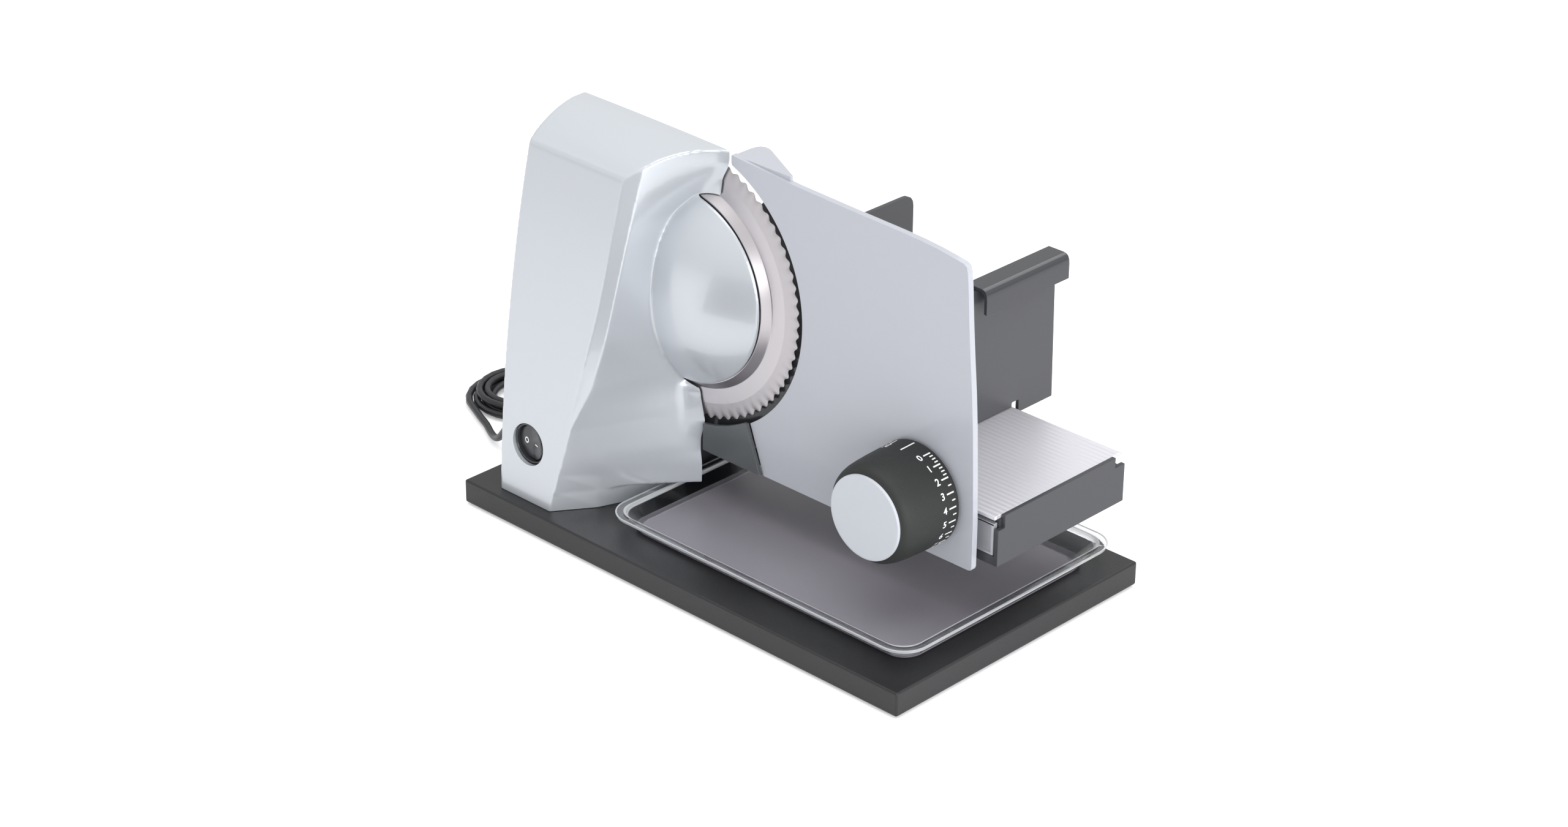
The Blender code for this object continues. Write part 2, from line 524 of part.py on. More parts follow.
# Clear tray on the base, with sloping walls and a flat rim
tray = loft("tray", [(BASE_TOP, rounded((-0.060, 0.157), (0.0265, 0.181), 0.013)),
                     (0.0236, rounded((-0.070, 0.160), (0.0220, 0.199), 0.015)),
                     (TRAY_RIM, rounded((-0.0705, 0.1605), (0.0215, 0.1995), 0.015))], CLEAR)
combine(tray, loft("tray_rim_form", [(0.0234, rounded((-0.074, 0.164), (0.0185, 0.203), 0.017)),
                                     (TRAY_RIM - 0.0001, rounded((-0.074, 0.164), (0.0185, 0.203), 0.017))]),
        "UNION")
combine(tray, loft("tray_inside", [(0.0168, rounded((-0.0580, 0.1550), (0.0287, 0.1785), 0.012)),
                                   (0.0270, rounded((-0.0686, 0.1586), (0.0236, 0.1978), 0.014))]))

# Cord: a tapered strain relief, the lead to a coil on the floor, the tie round it, and the tail with its plug
FLOOR = -FOOT_PROUD + CORD_THICK / 2 + TIE_THICK + 0.0003
gland = rod("cord_gland", 0.0051, (GLAND_Y, GLAND_Z), -0.1480, -0.1780, axis="X", look=RUBBER, sides=24,
            tip=0.0029)
combine(gland, rod("gland_flange_form", 0.0078, (GLAND_Y, GLAND_Z), -0.1523, -0.1540, axis="X", sides=24),
        "UNION")


def through(points, steps):
    """A smooth line through points, with a few steps between each two and straight at both ends."""
    line = []
    ends = [points[0] * 2 - points[1]] + points + [points[-1] * 2 - points[-2]]
    for a, b, c, d in zip(ends, ends[1:], ends[2:], ends[3:]):
        for i in range(steps):
            t = i / steps
            line.append(0.5 * (2 * b + (c - a) * t + (2 * a - 5 * b + 4 * c - d) * t ** 2
                               + (3 * b - 3 * c + d - a) * t ** 3))
    return [points[0]] + line[steps:1 - steps] + [points[-1]]


def tube(name, points, thickness, resolution, look):
    curve = bpy.data.curves.new(name, "CURVE")
    curve.dimensions = "3D"
    curve.bevel_depth = thickness / 2
    curve.bevel_resolution = resolution
    curve.use_fill_caps = True
    spline = curve.splines.new("POLY")
    spline.points.add(len(points) - 1)
    for point, place in zip(spline.points, points):
        point.co = (*place, 1)
    curve.materials.append(look)
    made = bpy.data.objects.new(name, curve)
    PARTS.objects.link(made)
    return made


def coil_radius(turns):
    """The coil winds inwards on the floor for half of its turns, and outwards on top of them for the rest."""
    return COIL_RADIUS - COIL_STEP * (turns if turns < 3.25 else 6.5 - turns)


POINTS_A_TURN = 24
coil = []
for i in range(5 * POINTS_A_TURN + 12):
    turns = i / POINTS_A_TURN
    angle = radians(-105 - 360 * turns)
    climb = min(max((turns - 3) / 0.5, 0), 1)
    height = FLOOR + COIL_LAYER * (3 - 2 * climb) * climb ** 2
    coil.append(Vector((COIL_X + coil_radius(turns) * cos(angle), COIL_Y + coil_radius(turns) * sin(angle),
                        height)))
first_way = (coil[0] - coil[1]).normalized()
last_way = (coil[-1] - coil[-2]).normalized()
coil = [coil[0] + first_way * CORD_THICK] + coil + [coil[-1] + last_way * CORD_THICK]
tube("cord_coil", coil, CORD_THICK, 1, RUBBER)

TIE_PLAY = CORD_THICK / 2 + 0.0005
tie_in = (COIL_X + coil_radius(3.73) - TIE_PLAY, COIL_X + coil_radius(0.70) + TIE_PLAY)
tie_up = (FLOOR - CORD_THICK / 2 - 0.0002, FLOOR + COIL_LAYER + TIE_PLAY)
tie = block("cord_tie", (tie_in[0] - TIE_THICK, tie_in[1] + TIE_THICK), (COIL_Y - 0.0025, COIL_Y + 0.0025),
            (tie_up[0] - TIE_THICK, tie_up[1] + TIE_THICK), BLACK)
combine(tie, block("tie_space", tie_in, (COIL_Y - 0.01, COIL_Y + 0.01), tie_up))

lead_end = coil[0] + first_way * GAP
lead = [Vector((-0.1783, GLAND_Y, GLAND_Z)), Vector((-0.1830, GLAND_Y, GLAND_Z)),
        Vector((-0.1923, 0.0563, 0.0243)), Vector((-0.1999, 0.0573, 0.0201)),
        Vector((-0.2056, 0.0589, 0.0141)), Vector((-0.2113, 0.0608, 0.0081)),
        Vector((-0.2188, 0.0639, 0.0039)), Vector((-0.2283, 0.0686, FLOOR)), Vector((-0.2380, 0.0738, FLOOR)),
        lead_end + first_way * 0.010, lead_end + first_way * CORD_THICK, lead_end]
tube("cord_lead", through(lead, 3), CORD_THICK, 2, RUBBER)

PLUG_X = -0.1995
PLUG_Z = (-FOOT_PROUD + 0.0001, 0.0125)
plug_middle = (PLUG_Z[0] + PLUG_Z[1]) / 2
tail_start = coil[-1] + last_way * GAP
tail = [tail_start, tail_start + last_way * CORD_THICK, Vector((-0.2330, 0.1465, FLOOR + 0.0050)),
        Vector((-0.2240, 0.1472, FLOOR + 0.0050)), Vector((-0.2155, 0.1500, FLOOR + 0.0048)),
        Vector((-0.2078, 0.1555, FLOOR + 0.0043)), Vector((-0.2020, 0.1632, plug_middle)),
        Vector((-0.1999, 0.1710, plug_middle)), Vector((PLUG_X, 0.1770, plug_middle)),
        Vector((PLUG_X, 0.1817, plug_middle))]
tube("cord_tail", through(tail, 3), CORD_THICK, 2, RUBBER)
half_plug = [(0.0040, 0.1820), (0.0055, 0.1840), (0.0130, 0.1930), (0.0176, 0.2030), (0.0176, 0.2130)]
plug_line = [(PLUG_X + x, y) for x, y in half_plug] + [(PLUG_X - x, y) for x, y in reversed(half_plug)]
plug = outline("plug_body", plug_line, "Z", PLUG_Z[0], PLUG_Z[1], BLACK)
for number, side in enumerate((-0.0093, 0.0093), start=1):
    rod("plug_pin_%d" % number, 0.0020, (PLUG_X + side, plug_middle), 0.2133, 0.2320, look=BRASS, sides=16)

for made in bpy.data.objects:
    made.location += SHIFT
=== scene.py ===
from math import asin, atan2, cos, degrees, hypot, pi, radians, sin

import bmesh
import bpy
from mathutils import Matrix, Vector


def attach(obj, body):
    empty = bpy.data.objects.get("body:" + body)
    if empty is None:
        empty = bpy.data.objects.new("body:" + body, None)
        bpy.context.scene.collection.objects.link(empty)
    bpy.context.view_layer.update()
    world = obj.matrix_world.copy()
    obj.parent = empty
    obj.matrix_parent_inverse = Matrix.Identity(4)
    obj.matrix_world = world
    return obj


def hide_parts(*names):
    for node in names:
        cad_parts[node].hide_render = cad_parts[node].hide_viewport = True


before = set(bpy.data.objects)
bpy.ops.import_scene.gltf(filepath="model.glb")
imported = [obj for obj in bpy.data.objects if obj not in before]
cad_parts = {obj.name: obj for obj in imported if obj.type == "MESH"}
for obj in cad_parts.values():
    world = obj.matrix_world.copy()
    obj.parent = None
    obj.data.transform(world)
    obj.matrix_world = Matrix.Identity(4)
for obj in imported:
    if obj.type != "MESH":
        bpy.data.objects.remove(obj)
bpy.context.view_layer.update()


# Studio: a white sweep with soft light all round, seen from above the dial's end.
# The world is a little darker near the floor, which gives the gloss something to mirror.
FRONT_EDGE, UNDERSIDE = -0.11775, 0.0012
WHITE = (1, 1, 1, 1)


def at(x, y, z):
    """A place in the row frame, from millimetres off the base plate's front edge and underside."""
    return Vector((x / 1000, y / 1000 + FRONT_EDGE, z / 1000 + UNDERSIDE))


def linear(hex_colour):
    """An sRGB colour such as #c5cacd as linear values."""
    shares = [int(hex_colour[i:i + 2], 16) / 255 for i in (1, 3, 5)]
    return tuple(s / 12.92 if s <= 0.04045 else ((s + 0.055) / 1.055) ** 2.4 for s in shares) + (1.0,)


def add(tree, kind, values=None, links=None):
    """Adds a node. Values are its settings or its sockets' values, and links join its sockets to others."""
    made = tree.nodes.new(kind)
    for key, value in (values or {}).items():
        if isinstance(key, str) and hasattr(made, key):
            setattr(made, key, value)
        else:
            made.inputs[key].default_value = value
    for key, socket in (links or {}).items():
        tree.links.new(socket, made.inputs[key])
    return made


scene = bpy.context.scene
scene.view_settings.view_transform = "Standard"

world = bpy.data.worlds.new("studio_white")
scene.world = world
world.use_nodes = True
sky = world.node_tree
sky.nodes.clear()
direction = add(sky, "ShaderNodeTexCoord")
height = add(sky, "ShaderNodeSeparateXYZ", links={0: direction.outputs["Generated"]})
fade = add(sky, "ShaderNodeMapRange", {"From Min": -0.1, "From Max": 0.5, "To Min": 0.44, "To Max": 0.84},
           {"Value": height.outputs["Z"]})
ray = add(sky, "ShaderNodeLightPath")
camera_or_glass = add(sky, "ShaderNodeMath", {"operation": "MAXIMUM"},
                      {0: ray.outputs["Is Camera Ray"], 1: ray.outputs["Is Transmission Ray"]})
level = add(sky, "ShaderNodeMix", {"data_type": "FLOAT", 3: 1.0},
            {0: camera_or_glass.outputs[0], 2: fade.outputs["Result"]})
backdrop = add(sky, "ShaderNodeBackground", {"Color": WHITE}, {"Strength": level.outputs[0]})
add(sky, "ShaderNodeOutputWorld", links={"Surface": backdrop.outputs[0]})

bpy.ops.object.select_all(action="DESELECT")
bpy.ops.mesh.primitive_plane_add(size=12, location=(0, 0, -0.0002))
floor = bpy.context.active_object
floor.name = "studio_floor"

# White paper, matt. It glows a little for the camera and through glass, and less in a gloss.
floor_paint = bpy.data.materials.new("white_paper_sweep")
floor_paint.use_nodes = True
tree = floor_paint.node_tree
tree.nodes.clear()
matt = add(tree, "ShaderNodeBsdfDiffuse", {"Color": linear("#f2f2f3")})
glow = add(tree, "ShaderNodeEmission", {"Color": WHITE, "Strength": 0.34})
ray = add(tree, "ShaderNodeLightPath")
direct = add(tree, "ShaderNodeMath", {"operation": "MAXIMUM"},
             {0: ray.outputs["Is Camera Ray"], 1: ray.outputs["Is Transmission Ray"]})
mirror = add(tree, "ShaderNodeMath", {"operation": "MULTIPLY", 1: 0.4}, {0: ray.outputs["Is Glossy Ray"]})
glossy = add(tree, "ShaderNodeMath", {"operation": "MAXIMUM"}, {0: direct.outputs[0], 1: mirror.outputs[0]})
dark = add(tree, "ShaderNodeEmission", {"Color": (0, 0, 0, 1), "Strength": 0.0})
lift = add(tree, "ShaderNodeMixShader", links={0: glossy.outputs[0], 1: dark.outputs[0], 2: glow.outputs[0]})
both = add(tree, "ShaderNodeAddShader", links={0: matt.outputs[0], 1: lift.outputs[0]})

# A black flag beyond the picture's lower edge, which shows only in the gloss of the housing's narrow facet.
# It is a sector of the floor about a point under the housing, with a middle, a half width and a near end.
FLAG_FROM = (-0.09, -0.09, 0)
FLAG_MIDDLE, FLAG_HALF, FLAG_START = radians(27), radians(25), 0.26
place = add(tree, "ShaderNodeTexCoord")
from_housing = add(tree, "ShaderNodeVectorMath", {"operation": "SUBTRACT", 1: FLAG_FROM},
                   {0: place.outputs["Object"]})
apart = add(tree, "ShaderNodeSeparateXYZ", links={0: from_housing.outputs[0]})
ahead = add(tree, "ShaderNodeMath", {"operation": "MULTIPLY", 1: -1.0}, {0: apart.outputs["Y"]})
angle_there = add(tree, "ShaderNodeMath", {"operation": "ARCTAN2"},
                  {0: apart.outputs["X"], 1: ahead.outputs[0]})
off = add(tree, "ShaderNodeMath", {"operation": "SUBTRACT", 1: FLAG_MIDDLE}, {0: angle_there.outputs[0]})
beside = add(tree, "ShaderNodeMath", {"operation": "ABSOLUTE"}, {0: off.outputs[0]})
inside = add(tree, "ShaderNodeMath", {"operation": "LESS_THAN", 1: FLAG_HALF}, {0: beside.outputs[0]})
beyond = add(tree, "ShaderNodeVectorMath", {"operation": "LENGTH"}, {0: from_housing.outputs[0]})
outside = add(tree, "ShaderNodeMath", {"operation": "GREATER_THAN", 1: FLAG_START},
              {0: beyond.outputs["Value"]})
flag = add(tree, "ShaderNodeMath", {"operation": "MULTIPLY"}, {0: inside.outputs[0], 1: outside.outputs[0]})
mirrored = add(tree, "ShaderNodeMath", {"operation": "MULTIPLY"},
               {0: flag.outputs[0], 1: ray.outputs["Is Glossy Ray"]})
shown = add(tree, "ShaderNodeMixShader",
            links={0: mirrored.outputs[0], 1: both.outputs[0], 2: dark.outputs[0]})
add(tree, "ShaderNodeOutputMaterial", links={"Surface": shown.outputs[0]})
floor.data.materials.append(floor_paint)


def lamp(name, place, aim, size, power):
    """A soft box of that size in metres and power in watts, aimed at a point."""
    data = bpy.data.lights.new(name, "AREA")
    data.shape = "RECTANGLE"
    data.size, data.size_y = size
    data.energy = power
    made = bpy.data.objects.new(name, data)
    scene.collection.objects.link(made)
    made.location = place
    made.rotation_euler = (Vector(aim) - Vector(place)).to_track_quat("-Z", "Y").to_euler()


lamp("overhead_softbox", (0.1, -0.1, 1.6), (0, 0, 0), (1.6, 1.2), 11)
lamp("left_softbox", (-1.3, -1.1, 0.9), (-0.05, 0, 0.12), (1.2, 1.2), 0.6)
lamp("right_softbox", (1.7, -0.45, 0.42), (0, 0, 0.12), (2.4, 1.0), 25)
lamp("back_strip", (0.25, 1.3, 1.45), (0, 0, 0.15), (2.0, 0.25), 3)

# Camera: a long lens at the photograph's place, turned to the right, tipped down and rolled a little
CAMERA_PLACE = (1.2623, -1.34955, 1.0193)
FOCAL_PIXELS, FRAME_PIXELS, SENSOR = 5811, 2560, 36
turn, tip, roll = radians(43.61), radians(26.93), radians(0.58)
back = Vector((sin(turn) * cos(tip), -cos(turn) * cos(tip), sin(tip)))
side = Vector((cos(turn), sin(turn), 0))
up = back.cross(side)
across = side * cos(roll) + up * sin(roll)
upward = up * cos(roll) - side * sin(roll)
lens = bpy.data.cameras.new("photo_camera")
lens.sensor_width = SENSOR
lens.lens = FOCAL_PIXELS / FRAME_PIXELS * SENSOR
camera = bpy.data.objects.new("photo_camera", lens)
scene.collection.objects.link(camera)
facing = Matrix((across, upward, back)).transposed().to_4x4()
camera.matrix_world = Matrix.Translation(CAMERA_PLACE) @ facing
scene.camera = camera


# Mains cord: a round 4.5 mm lead in black PVC. It drops from its strain relief to the worktop, lies there
# in a coil of six turns in two layers behind the housing, and ends in a flat two-pin plug.
CORD = 4.5
CORD_FLOOR = -1.2 + CORD / 2 + 1.1
COIL_X, COIL_Y = -252, 117
COIL_OUT, COIL_STEP, COIL_LAYER = 34.5, 5.05, 5.0
COIL_START = -105
COIL_INNERMOST = 3.25
POINTS_A_TURN, COIL_POINTS = 24, 132


def through(points, steps):
    """A smooth line through points, with a few steps between each two and straight at both ends."""
    line = []
    ends = [points[0] * 2 - points[1]] + points + [points[-1] * 2 - points[-2]]
    for a, b, c, d in zip(ends, ends[1:], ends[2:], ends[3:]):
        for i in range(steps):
            t = i / steps
            line.append(0.5 * (2 * b + (c - a) * t + (2 * a - 5 * b + 4 * c - d) * t ** 2
                               + (3 * b - 3 * c + d - a) * t ** 3))
    return line + [points[-1]]


def coil_radius(turns):
    """The coil winds inwards on the floor for half of its turns, and outwards on top of them after that."""
    return COIL_OUT - COIL_STEP * (turns if turns < COIL_INNERMOST else 2 * COIL_INNERMOST - turns)


coil = []
for i in range(COIL_POINTS):
    turns = i / POINTS_A_TURN
    angle = radians(COIL_START - 360 * turns)
    climb = min(max((turns - 3) / 0.5, 0), 1)
    coil.append(Vector((COIL_X + coil_radius(turns) * cos(angle),
                        COIL_Y + coil_radius(turns) * sin(angle),
                        CORD_FLOOR + COIL_LAYER * (3 - 2 * climb) * climb ** 2)))
first_way = (coil[0] - coil[1]).normalized()
last_way = (coil[-1] - coil[-2]).normalized()
coil = [coil[0] + first_way * CORD] + coil + [coil[-1] + last_way * CORD]
lead = [(-178.2, 56, 26), (-183, 56, 26), (-192.3, 56.3, 24.3), (-199.9, 57.3, 20.1),
        (-205.6, 58.9, 14.1), (-211.3, 60.8, 8.1), (-218.8, 63.9, 3.9), (-228.3, 68.6, CORD_FLOOR),
        (-238, 73.8, CORD_FLOOR)]
lead = [Vector(place) for place in lead] + [coil[0] + first_way * 10.3, coil[0]]
PLUG_X, PLUG_LOW, PLUG_HIGH = -199.5, -1.1, 12.5
PLUG_MIDDLE = (PLUG_LOW + PLUG_HIGH) / 2
tail = [(-233, 146.5, CORD_FLOOR + 5), (-224, 147.2, CORD_FLOOR + 5), (-215.5, 150, CORD_FLOOR + 4.8),
        (-207.8, 155.5, CORD_FLOOR + 4.3), (-202, 163.2, PLUG_MIDDLE), (-199.9, 171, PLUG_MIDDLE),
        (PLUG_X, 177, PLUG_MIDDLE), (PLUG_X, 181.8, PLUG_MIDDLE)]
tail = [coil[-1], coil[-1] + last_way * CORD] + [Vector(place) for place in tail]
route = through(lead, 3)[:-1] + coil[:-1] + through(tail, 3)
route = [at(*place) for place in route]

cord_line = bpy.data.curves.new("mains_cord", "CURVE")
cord_line.dimensions = "3D"
cord_line.bevel_depth = CORD / 2000
cord_line.bevel_resolution = 5
cord_line.use_fill_caps = True
spline = cord_line.splines.new("POLY")
spline.points.add(len(route) - 1)
for point, place in zip(spline.points, route):
    point.co = (*place, 1)
mains_cord = bpy.data.objects.new("mains_cord", cord_line)
scene.collection.objects.link(mains_cord)


def start_material(name, colour, roughness, metallic=0.0, **sockets):
    """A Principled material, and the tree and the shader for its pattern."""
    made = bpy.data.materials.new(name)
    made.use_nodes = True
    shader = made.node_tree.nodes["Principled BSDF"]
    shader.inputs["Base Color"].default_value = linear(colour)
    shader.inputs["Roughness"].default_value = roughness
    shader.inputs["Metallic"].default_value = metallic
    for key, value in sockets.items():
        shader.inputs[key.replace("_", " ")].default_value = value
    return made, made.node_tree, shader


def grain(tree, shader, scale, strength, low, high, distance=0.0002, squash=(1, 1, 1)):
    """A fine random surface: bump from noise of that scale, and roughness that wanders from low to high."""
    place = add(tree, "ShaderNodeTexCoord")
    fit = add(tree, "ShaderNodeMapping", {"Scale": squash}, {"Vector": place.outputs["Object"]})
    speck = add(tree, "ShaderNodeTexNoise", {"Scale": scale, "Detail": 3.0}, {"Vector": fit.outputs[0]})
    rise = add(tree, "ShaderNodeBump", {"Strength": strength, "Distance": distance},
               {"Height": speck.outputs["Fac"]})
    tree.links.new(rise.outputs[0], shader.inputs["Normal"])
    if low < high:
        spread = add(tree, "ShaderNodeMapRange",
                     {"From Min": 0.3, "From Max": 0.7, "To Min": low, "To Max": high},
                     {"Value": speck.outputs["Fac"]})
        tree.links.new(spread.outputs["Result"], shader.inputs["Roughness"])


# PVC sheath: extruded, faintly glossy, with a very fine drag along it
cord_black, tree, shader = start_material("extruded_black_pvc", "#232427", 0.35)
grain(tree, shader, 900, 0.15, 0.3, 0.42)
cord_line.materials.append(cord_black)
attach(mains_cord, "stand")
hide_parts("cord_lead", "cord_coil", "cord_tail")


def recoat(material, *nodes):
    """These CAD pieces get this material."""
    for name in nodes:
        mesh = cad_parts[name].data
        mesh.materials.clear()
        mesh.materials.append(material)


# Rubber: matt moulded EPDM on the feet and the strain relief
rubber, tree, shader = start_material("moulded_black_rubber", "#1d1e20", 0.75)
grain(tree, shader, 1400, 0.3, 0.65, 0.85)
recoat(rubber, "foot_1", "foot_2", "foot_3", "foot_4", "cord_gland")

# Brass: the plug's two pins, turned, with fine rings that blur what they mirror
brass, tree, shader = start_material("turned_brass", "#c9b072", 0.3, 1.0)
grain(tree, shader, 700, 0.1, 0.22, 0.35)
recoat(brass, "plug_pin_1", "plug_pin_2")


# Base: a pressed plate with a black powder coat, on four rubber feet. The coat is smooth and half gloss,
# and mirrors the white studio strongly at a flat angle.
def pick(*pieces):
    """Selects these pieces alone, with the first as the active one."""
    bpy.ops.object.select_all(action="DESELECT")
    for piece in pieces:
        piece.select_set(True)
    bpy.context.view_layer.objects.active = pieces[0]


def bake(piece):
    """Applies the piece's modifiers, and its place, to its mesh."""
    pick(piece)
    for step in list(piece.modifiers):
        bpy.ops.object.modifier_apply(modifier=step.name)
    bpy.ops.object.transform_apply(location=True, rotation=True, scale=True)


def dress(piece, material, body, slot, *nodes, sharp=32, even=True):
    """Finishes a piece: its shading, material, body and the CAD nodes that it stands for. Its slot is not
    used.
    """
    pick(piece)
    bpy.ops.object.shade_smooth_by_angle(angle=radians(sharp))
    if even:
        step = piece.modifiers.new("even_normals", "WEIGHTED_NORMAL")
        step.keep_sharp = True
        bpy.ops.object.modifier_apply(modifier=step.name)
    piece.data.materials.clear()
    piece.data.materials.append(material)
    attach(piece, body)
    if nodes:
        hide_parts(*nodes)


def round_edges(piece, width, segments=3, angle=30):
    """Rounds the piece's edges by a width in millimetres."""
    step = piece.modifiers.new("edges", "BEVEL")
    step.width = width / 1000
    step.segments = segments
    step.limit_method = "ANGLE"
    step.angle_limit = radians(angle)
    step.miter_outer = "MITER_ARC"


def block(name, x, y, z, edge=0.0, segments=3):
    """A box between limits in millimetres, with its edges rounded."""
    bpy.ops.object.select_all(action="DESELECT")
    low, high = at(x[0], y[0], z[0]), at(x[1], y[1], z[1])
    bpy.ops.mesh.primitive_cube_add(size=1, location=(low + high) / 2)
    made = bpy.context.active_object
    made.name = name
    made.scale = high - low
    bpy.ops.object.transform_apply(location=True, rotation=True, scale=True)
    if edge:
        round_edges(made, edge, segments)
        bake(made)
    return made


# Powder coat: baked black polyester, with a fine texture that spreads its half gloss
powder_black, tree, shader = start_material("black_powder_coat", "#1c1c1e", 0.4, Coat_Weight=0.08,
                                            Coat_Roughness=0.2)
grain(tree, shader, 1100, 0.06, 0.36, 0.46)
base_plate = block("slicer_base", (-175, 175), (0, 206), (0, 15), edge=1.3, segments=4)
dress(base_plate, powder_black, "stand", "black_base", "base_plate")


# Motor housing: a die-cast shell with silver-grey enamel. Its front leans back and rolls over into the top,
# its side runs obliquely to the blade, and a shallow round dome covers the blade's hub.
# The front's line is in (y, z), and the corner's in (z, x, y). The rest are in (z, a measure at that
# height): the rear edge's x, how far the rim flares at that edge, and the width of the facet at the corner.
# The foot's rows are (z, the x of the side at three places), and the skirt is the side's lower part.
FRONT_LINE = [(8.0, 5), (8.1, 15), (9.0, 34), (10.3, 54), (13.0, 84), (16.2, 112), (21.8, 150), (28.3, 187),
              (36.1, 223), (38.2, 230.2), (40.2, 232.6), (44.0, 235.8), (50.0, 239.6), (56.0, 242.7),
              (62.8, 245.3), (69.9, 247.1), (75.6, 247.7), (82, 247.9), (87, 247.9)]
CORNER = [(5, -110.5, 7.9), (27, -106.4, 8.8), (48, -101, 10), (82, -92.7, 13.2), (134.6, -82.2, 19.6),
          (176.5, -76.5, 26.5), (231.5, -72.2, 39.3), (256, -70.4, 45.6)]
EDGE = [(27, -55.7), (40, -55.7), (48, -56.8), (60, -58.5), (76, -61.0), (92, -64.0), (120, -66.0),
        (180, -66.0), (200, -62.0), (212, -54.0), (222, -46.5), (232, -39.5), (240, -35.0), (252, -32.7)]
FLARE = [(27, 0.3), (48, 0.6), (56, 1.8), (69, 7.4), (83, 6.6), (89, 7.4), (93, 0), (206, 0), (209.5, 7.6),
         (217, 10.6), (229, 3.2), (235, 2.6), (252, 0)]
FACET = [(27, 0.3), (72, 0.3), (84, 3.0), (100, 7.0), (130, 8.5), (200, 8.5), (252, 8.0)]
FACET_WAY = radians(38)
LEFT, BACK, FOOT_TOP = -152, 81.5, 27
SKIRT_TOP, SKIRT_HIGH, SKIRT_SAG, SAG = 54, 20, 2.2, 1.0
SHELL, SKIN_STEP = 2.5, 0.0009
SIDE_SHARES = (0, 0.1, 0.2, 0.3, 0.4, 0.5, 0.6, 0.7, 0.8, 0.86, 0.9, 0.94, 0.97, 1.0, 1.05, 1.12)
FLARE_FROM, FLARE_RUN = 0.86, 0.14
FOOT_ROWS = [(0, -115.5, -110.3, -93.1), (15, -113, -108.9, -92.6), (27.5, -110, -106.9, -92.3),
             (40, -107, -103.9, -91.5)]
BLADE = (-64.8, 154.8)
DOME_RIM, DOME_DEEP, DOME_EDGE = 60.2, 20.7, 76.2
SWITCH = (-128.6, 51.7)


def read(table, z, column):
    """A value of the table at height z, on a smooth curve through its rows."""
    if z <= table[0][0]:
        return table[0][column]
    for i in range(len(table) - 1):
        if z <= table[i + 1][0]:
            a, b = table[i], table[i + 1]
            before, after = table[max(i - 1, 0)], table[min(i + 2, len(table) - 1)]
            t = (z - a[0]) / (b[0] - a[0])
            slope_a = (b[column] - before[column]) / (b[0] - before[0]) * (b[0] - a[0])
            slope_b = (after[column] - a[column]) / (after[0] - a[0]) * (b[0] - a[0])
            return ((2 * t ** 3 - 3 * t ** 2 + 1) * a[column] + (t ** 3 - 2 * t ** 2 + t) * slope_a
                    + (3 * t ** 2 - 2 * t ** 3) * b[column] + (t ** 3 - t ** 2) * slope_b)
    return table[-1][column]


def linear_read(table, z):
    """A value of a two-column table at height z, on straight lines between its rows."""
    for (z0, value0), (z1, value1) in zip(table, table[1:]):
        if z <= z1:
            return value0 + (value1 - value0) * max(z - z0, 0) / (z1 - z0)
    return table[-1][1]


def bridge(bm, loops):
    """Walls between each two of the closed loops, which have the same number of corners."""
    for first, second in zip(loops, loops[1:]):
        for i in range(len(first)):
            j = (i + 1) % len(first)
            bm.faces.new((first[i], first[j], second[j], second[i]))


def as_object(name, bm, outward=True):
    """The object of a finished mesh, with its faces turned outwards where it is a solid."""
    if outward:
        bmesh.ops.recalc_face_normals(bm, faces=bm.faces)
    mesh = bpy.data.meshes.new(name)
    bm.to_mesh(mesh)
    bm.free()
    made = bpy.data.objects.new(name, mesh)
    scene.collection.objects.link(made)
    return made


def stack(name, sections):
    """A closed solid through level outlines that have the same number of corners."""
    bm = bmesh.new()
    rings = [[bm.verts.new(at(x, y, z)) for x, y in outline] for z, outline in sections]
    bridge(bm, rings)
    bm.faces.new(list(reversed(rings[0])))
    bm.faces.new(rings[-1])
    bmesh.ops.triangulate(bm, faces=bm.faces)
    return as_object(name, bm)


def sheet(name, outline, axis, low, high, edge=0.0, segments=3, angle=30):
    """A flat outline in millimetres with a thickness along an axis, and its edges rounded."""
    spot = {"X": lambda u, v, w: at(w, u, v),
            "Y": lambda u, v, w: at(u, w, v),
            "Z": lambda u, v, w: at(u, v, w)}[axis]
    bm = bmesh.new()
    face = bm.faces.new([bm.verts.new(spot(u, v, low)) for u, v in outline])
    raised = bmesh.ops.extrude_face_region(bm, geom=[face])
    moved = [part for part in raised["geom"] if isinstance(part, bmesh.types.BMVert)]
    bmesh.ops.translate(bm, vec=spot(0, 0, high) - spot(0, 0, low), verts=moved)
    made = as_object(name, bm)
    if edge:
        round_edges(made, edge, segments, angle)
        bake(made)
    return made


def spin_up(name, profile, centre, steps=96):
    """A shape turned about a Y axis. The profile's points are (radius, y) in millimetres."""
    mesh = bpy.data.meshes.new(name)
    mesh.from_pydata([at(centre[0] + radius, y, centre[1]) for radius, y in profile],
                     [(i, i + 1) for i in range(len(profile) - 1)], [])
    made = bpy.data.objects.new(name, mesh)
    scene.collection.objects.link(made)
    pick(made)
    bpy.ops.object.mode_set(mode="EDIT")
    bpy.ops.mesh.select_all(action="SELECT")
    bpy.ops.mesh.spin(steps=steps, angle=2 * pi, center=at(centre[0], 0, centre[1]), axis=(0, 1, 0))
    bpy.ops.mesh.select_all(action="SELECT")
    bpy.ops.mesh.remove_doubles(threshold=0.00001)
    bpy.ops.mesh.normals_make_consistent(inside=False)
    bpy.ops.object.mode_set(mode="OBJECT")
    return made


def join_form(piece, other, how):
    """Applies a Boolean with the other solid, which is then removed."""
    step = piece.modifiers.new(how, "BOOLEAN")
    step.operation = how
    step.solver = "EXACT"
    step.object = other
    bake(piece)
    bpy.data.objects.remove(other)


def clamp(value):
    """The value, kept between 0 and 1."""
    return min(max(value, 0), 1)


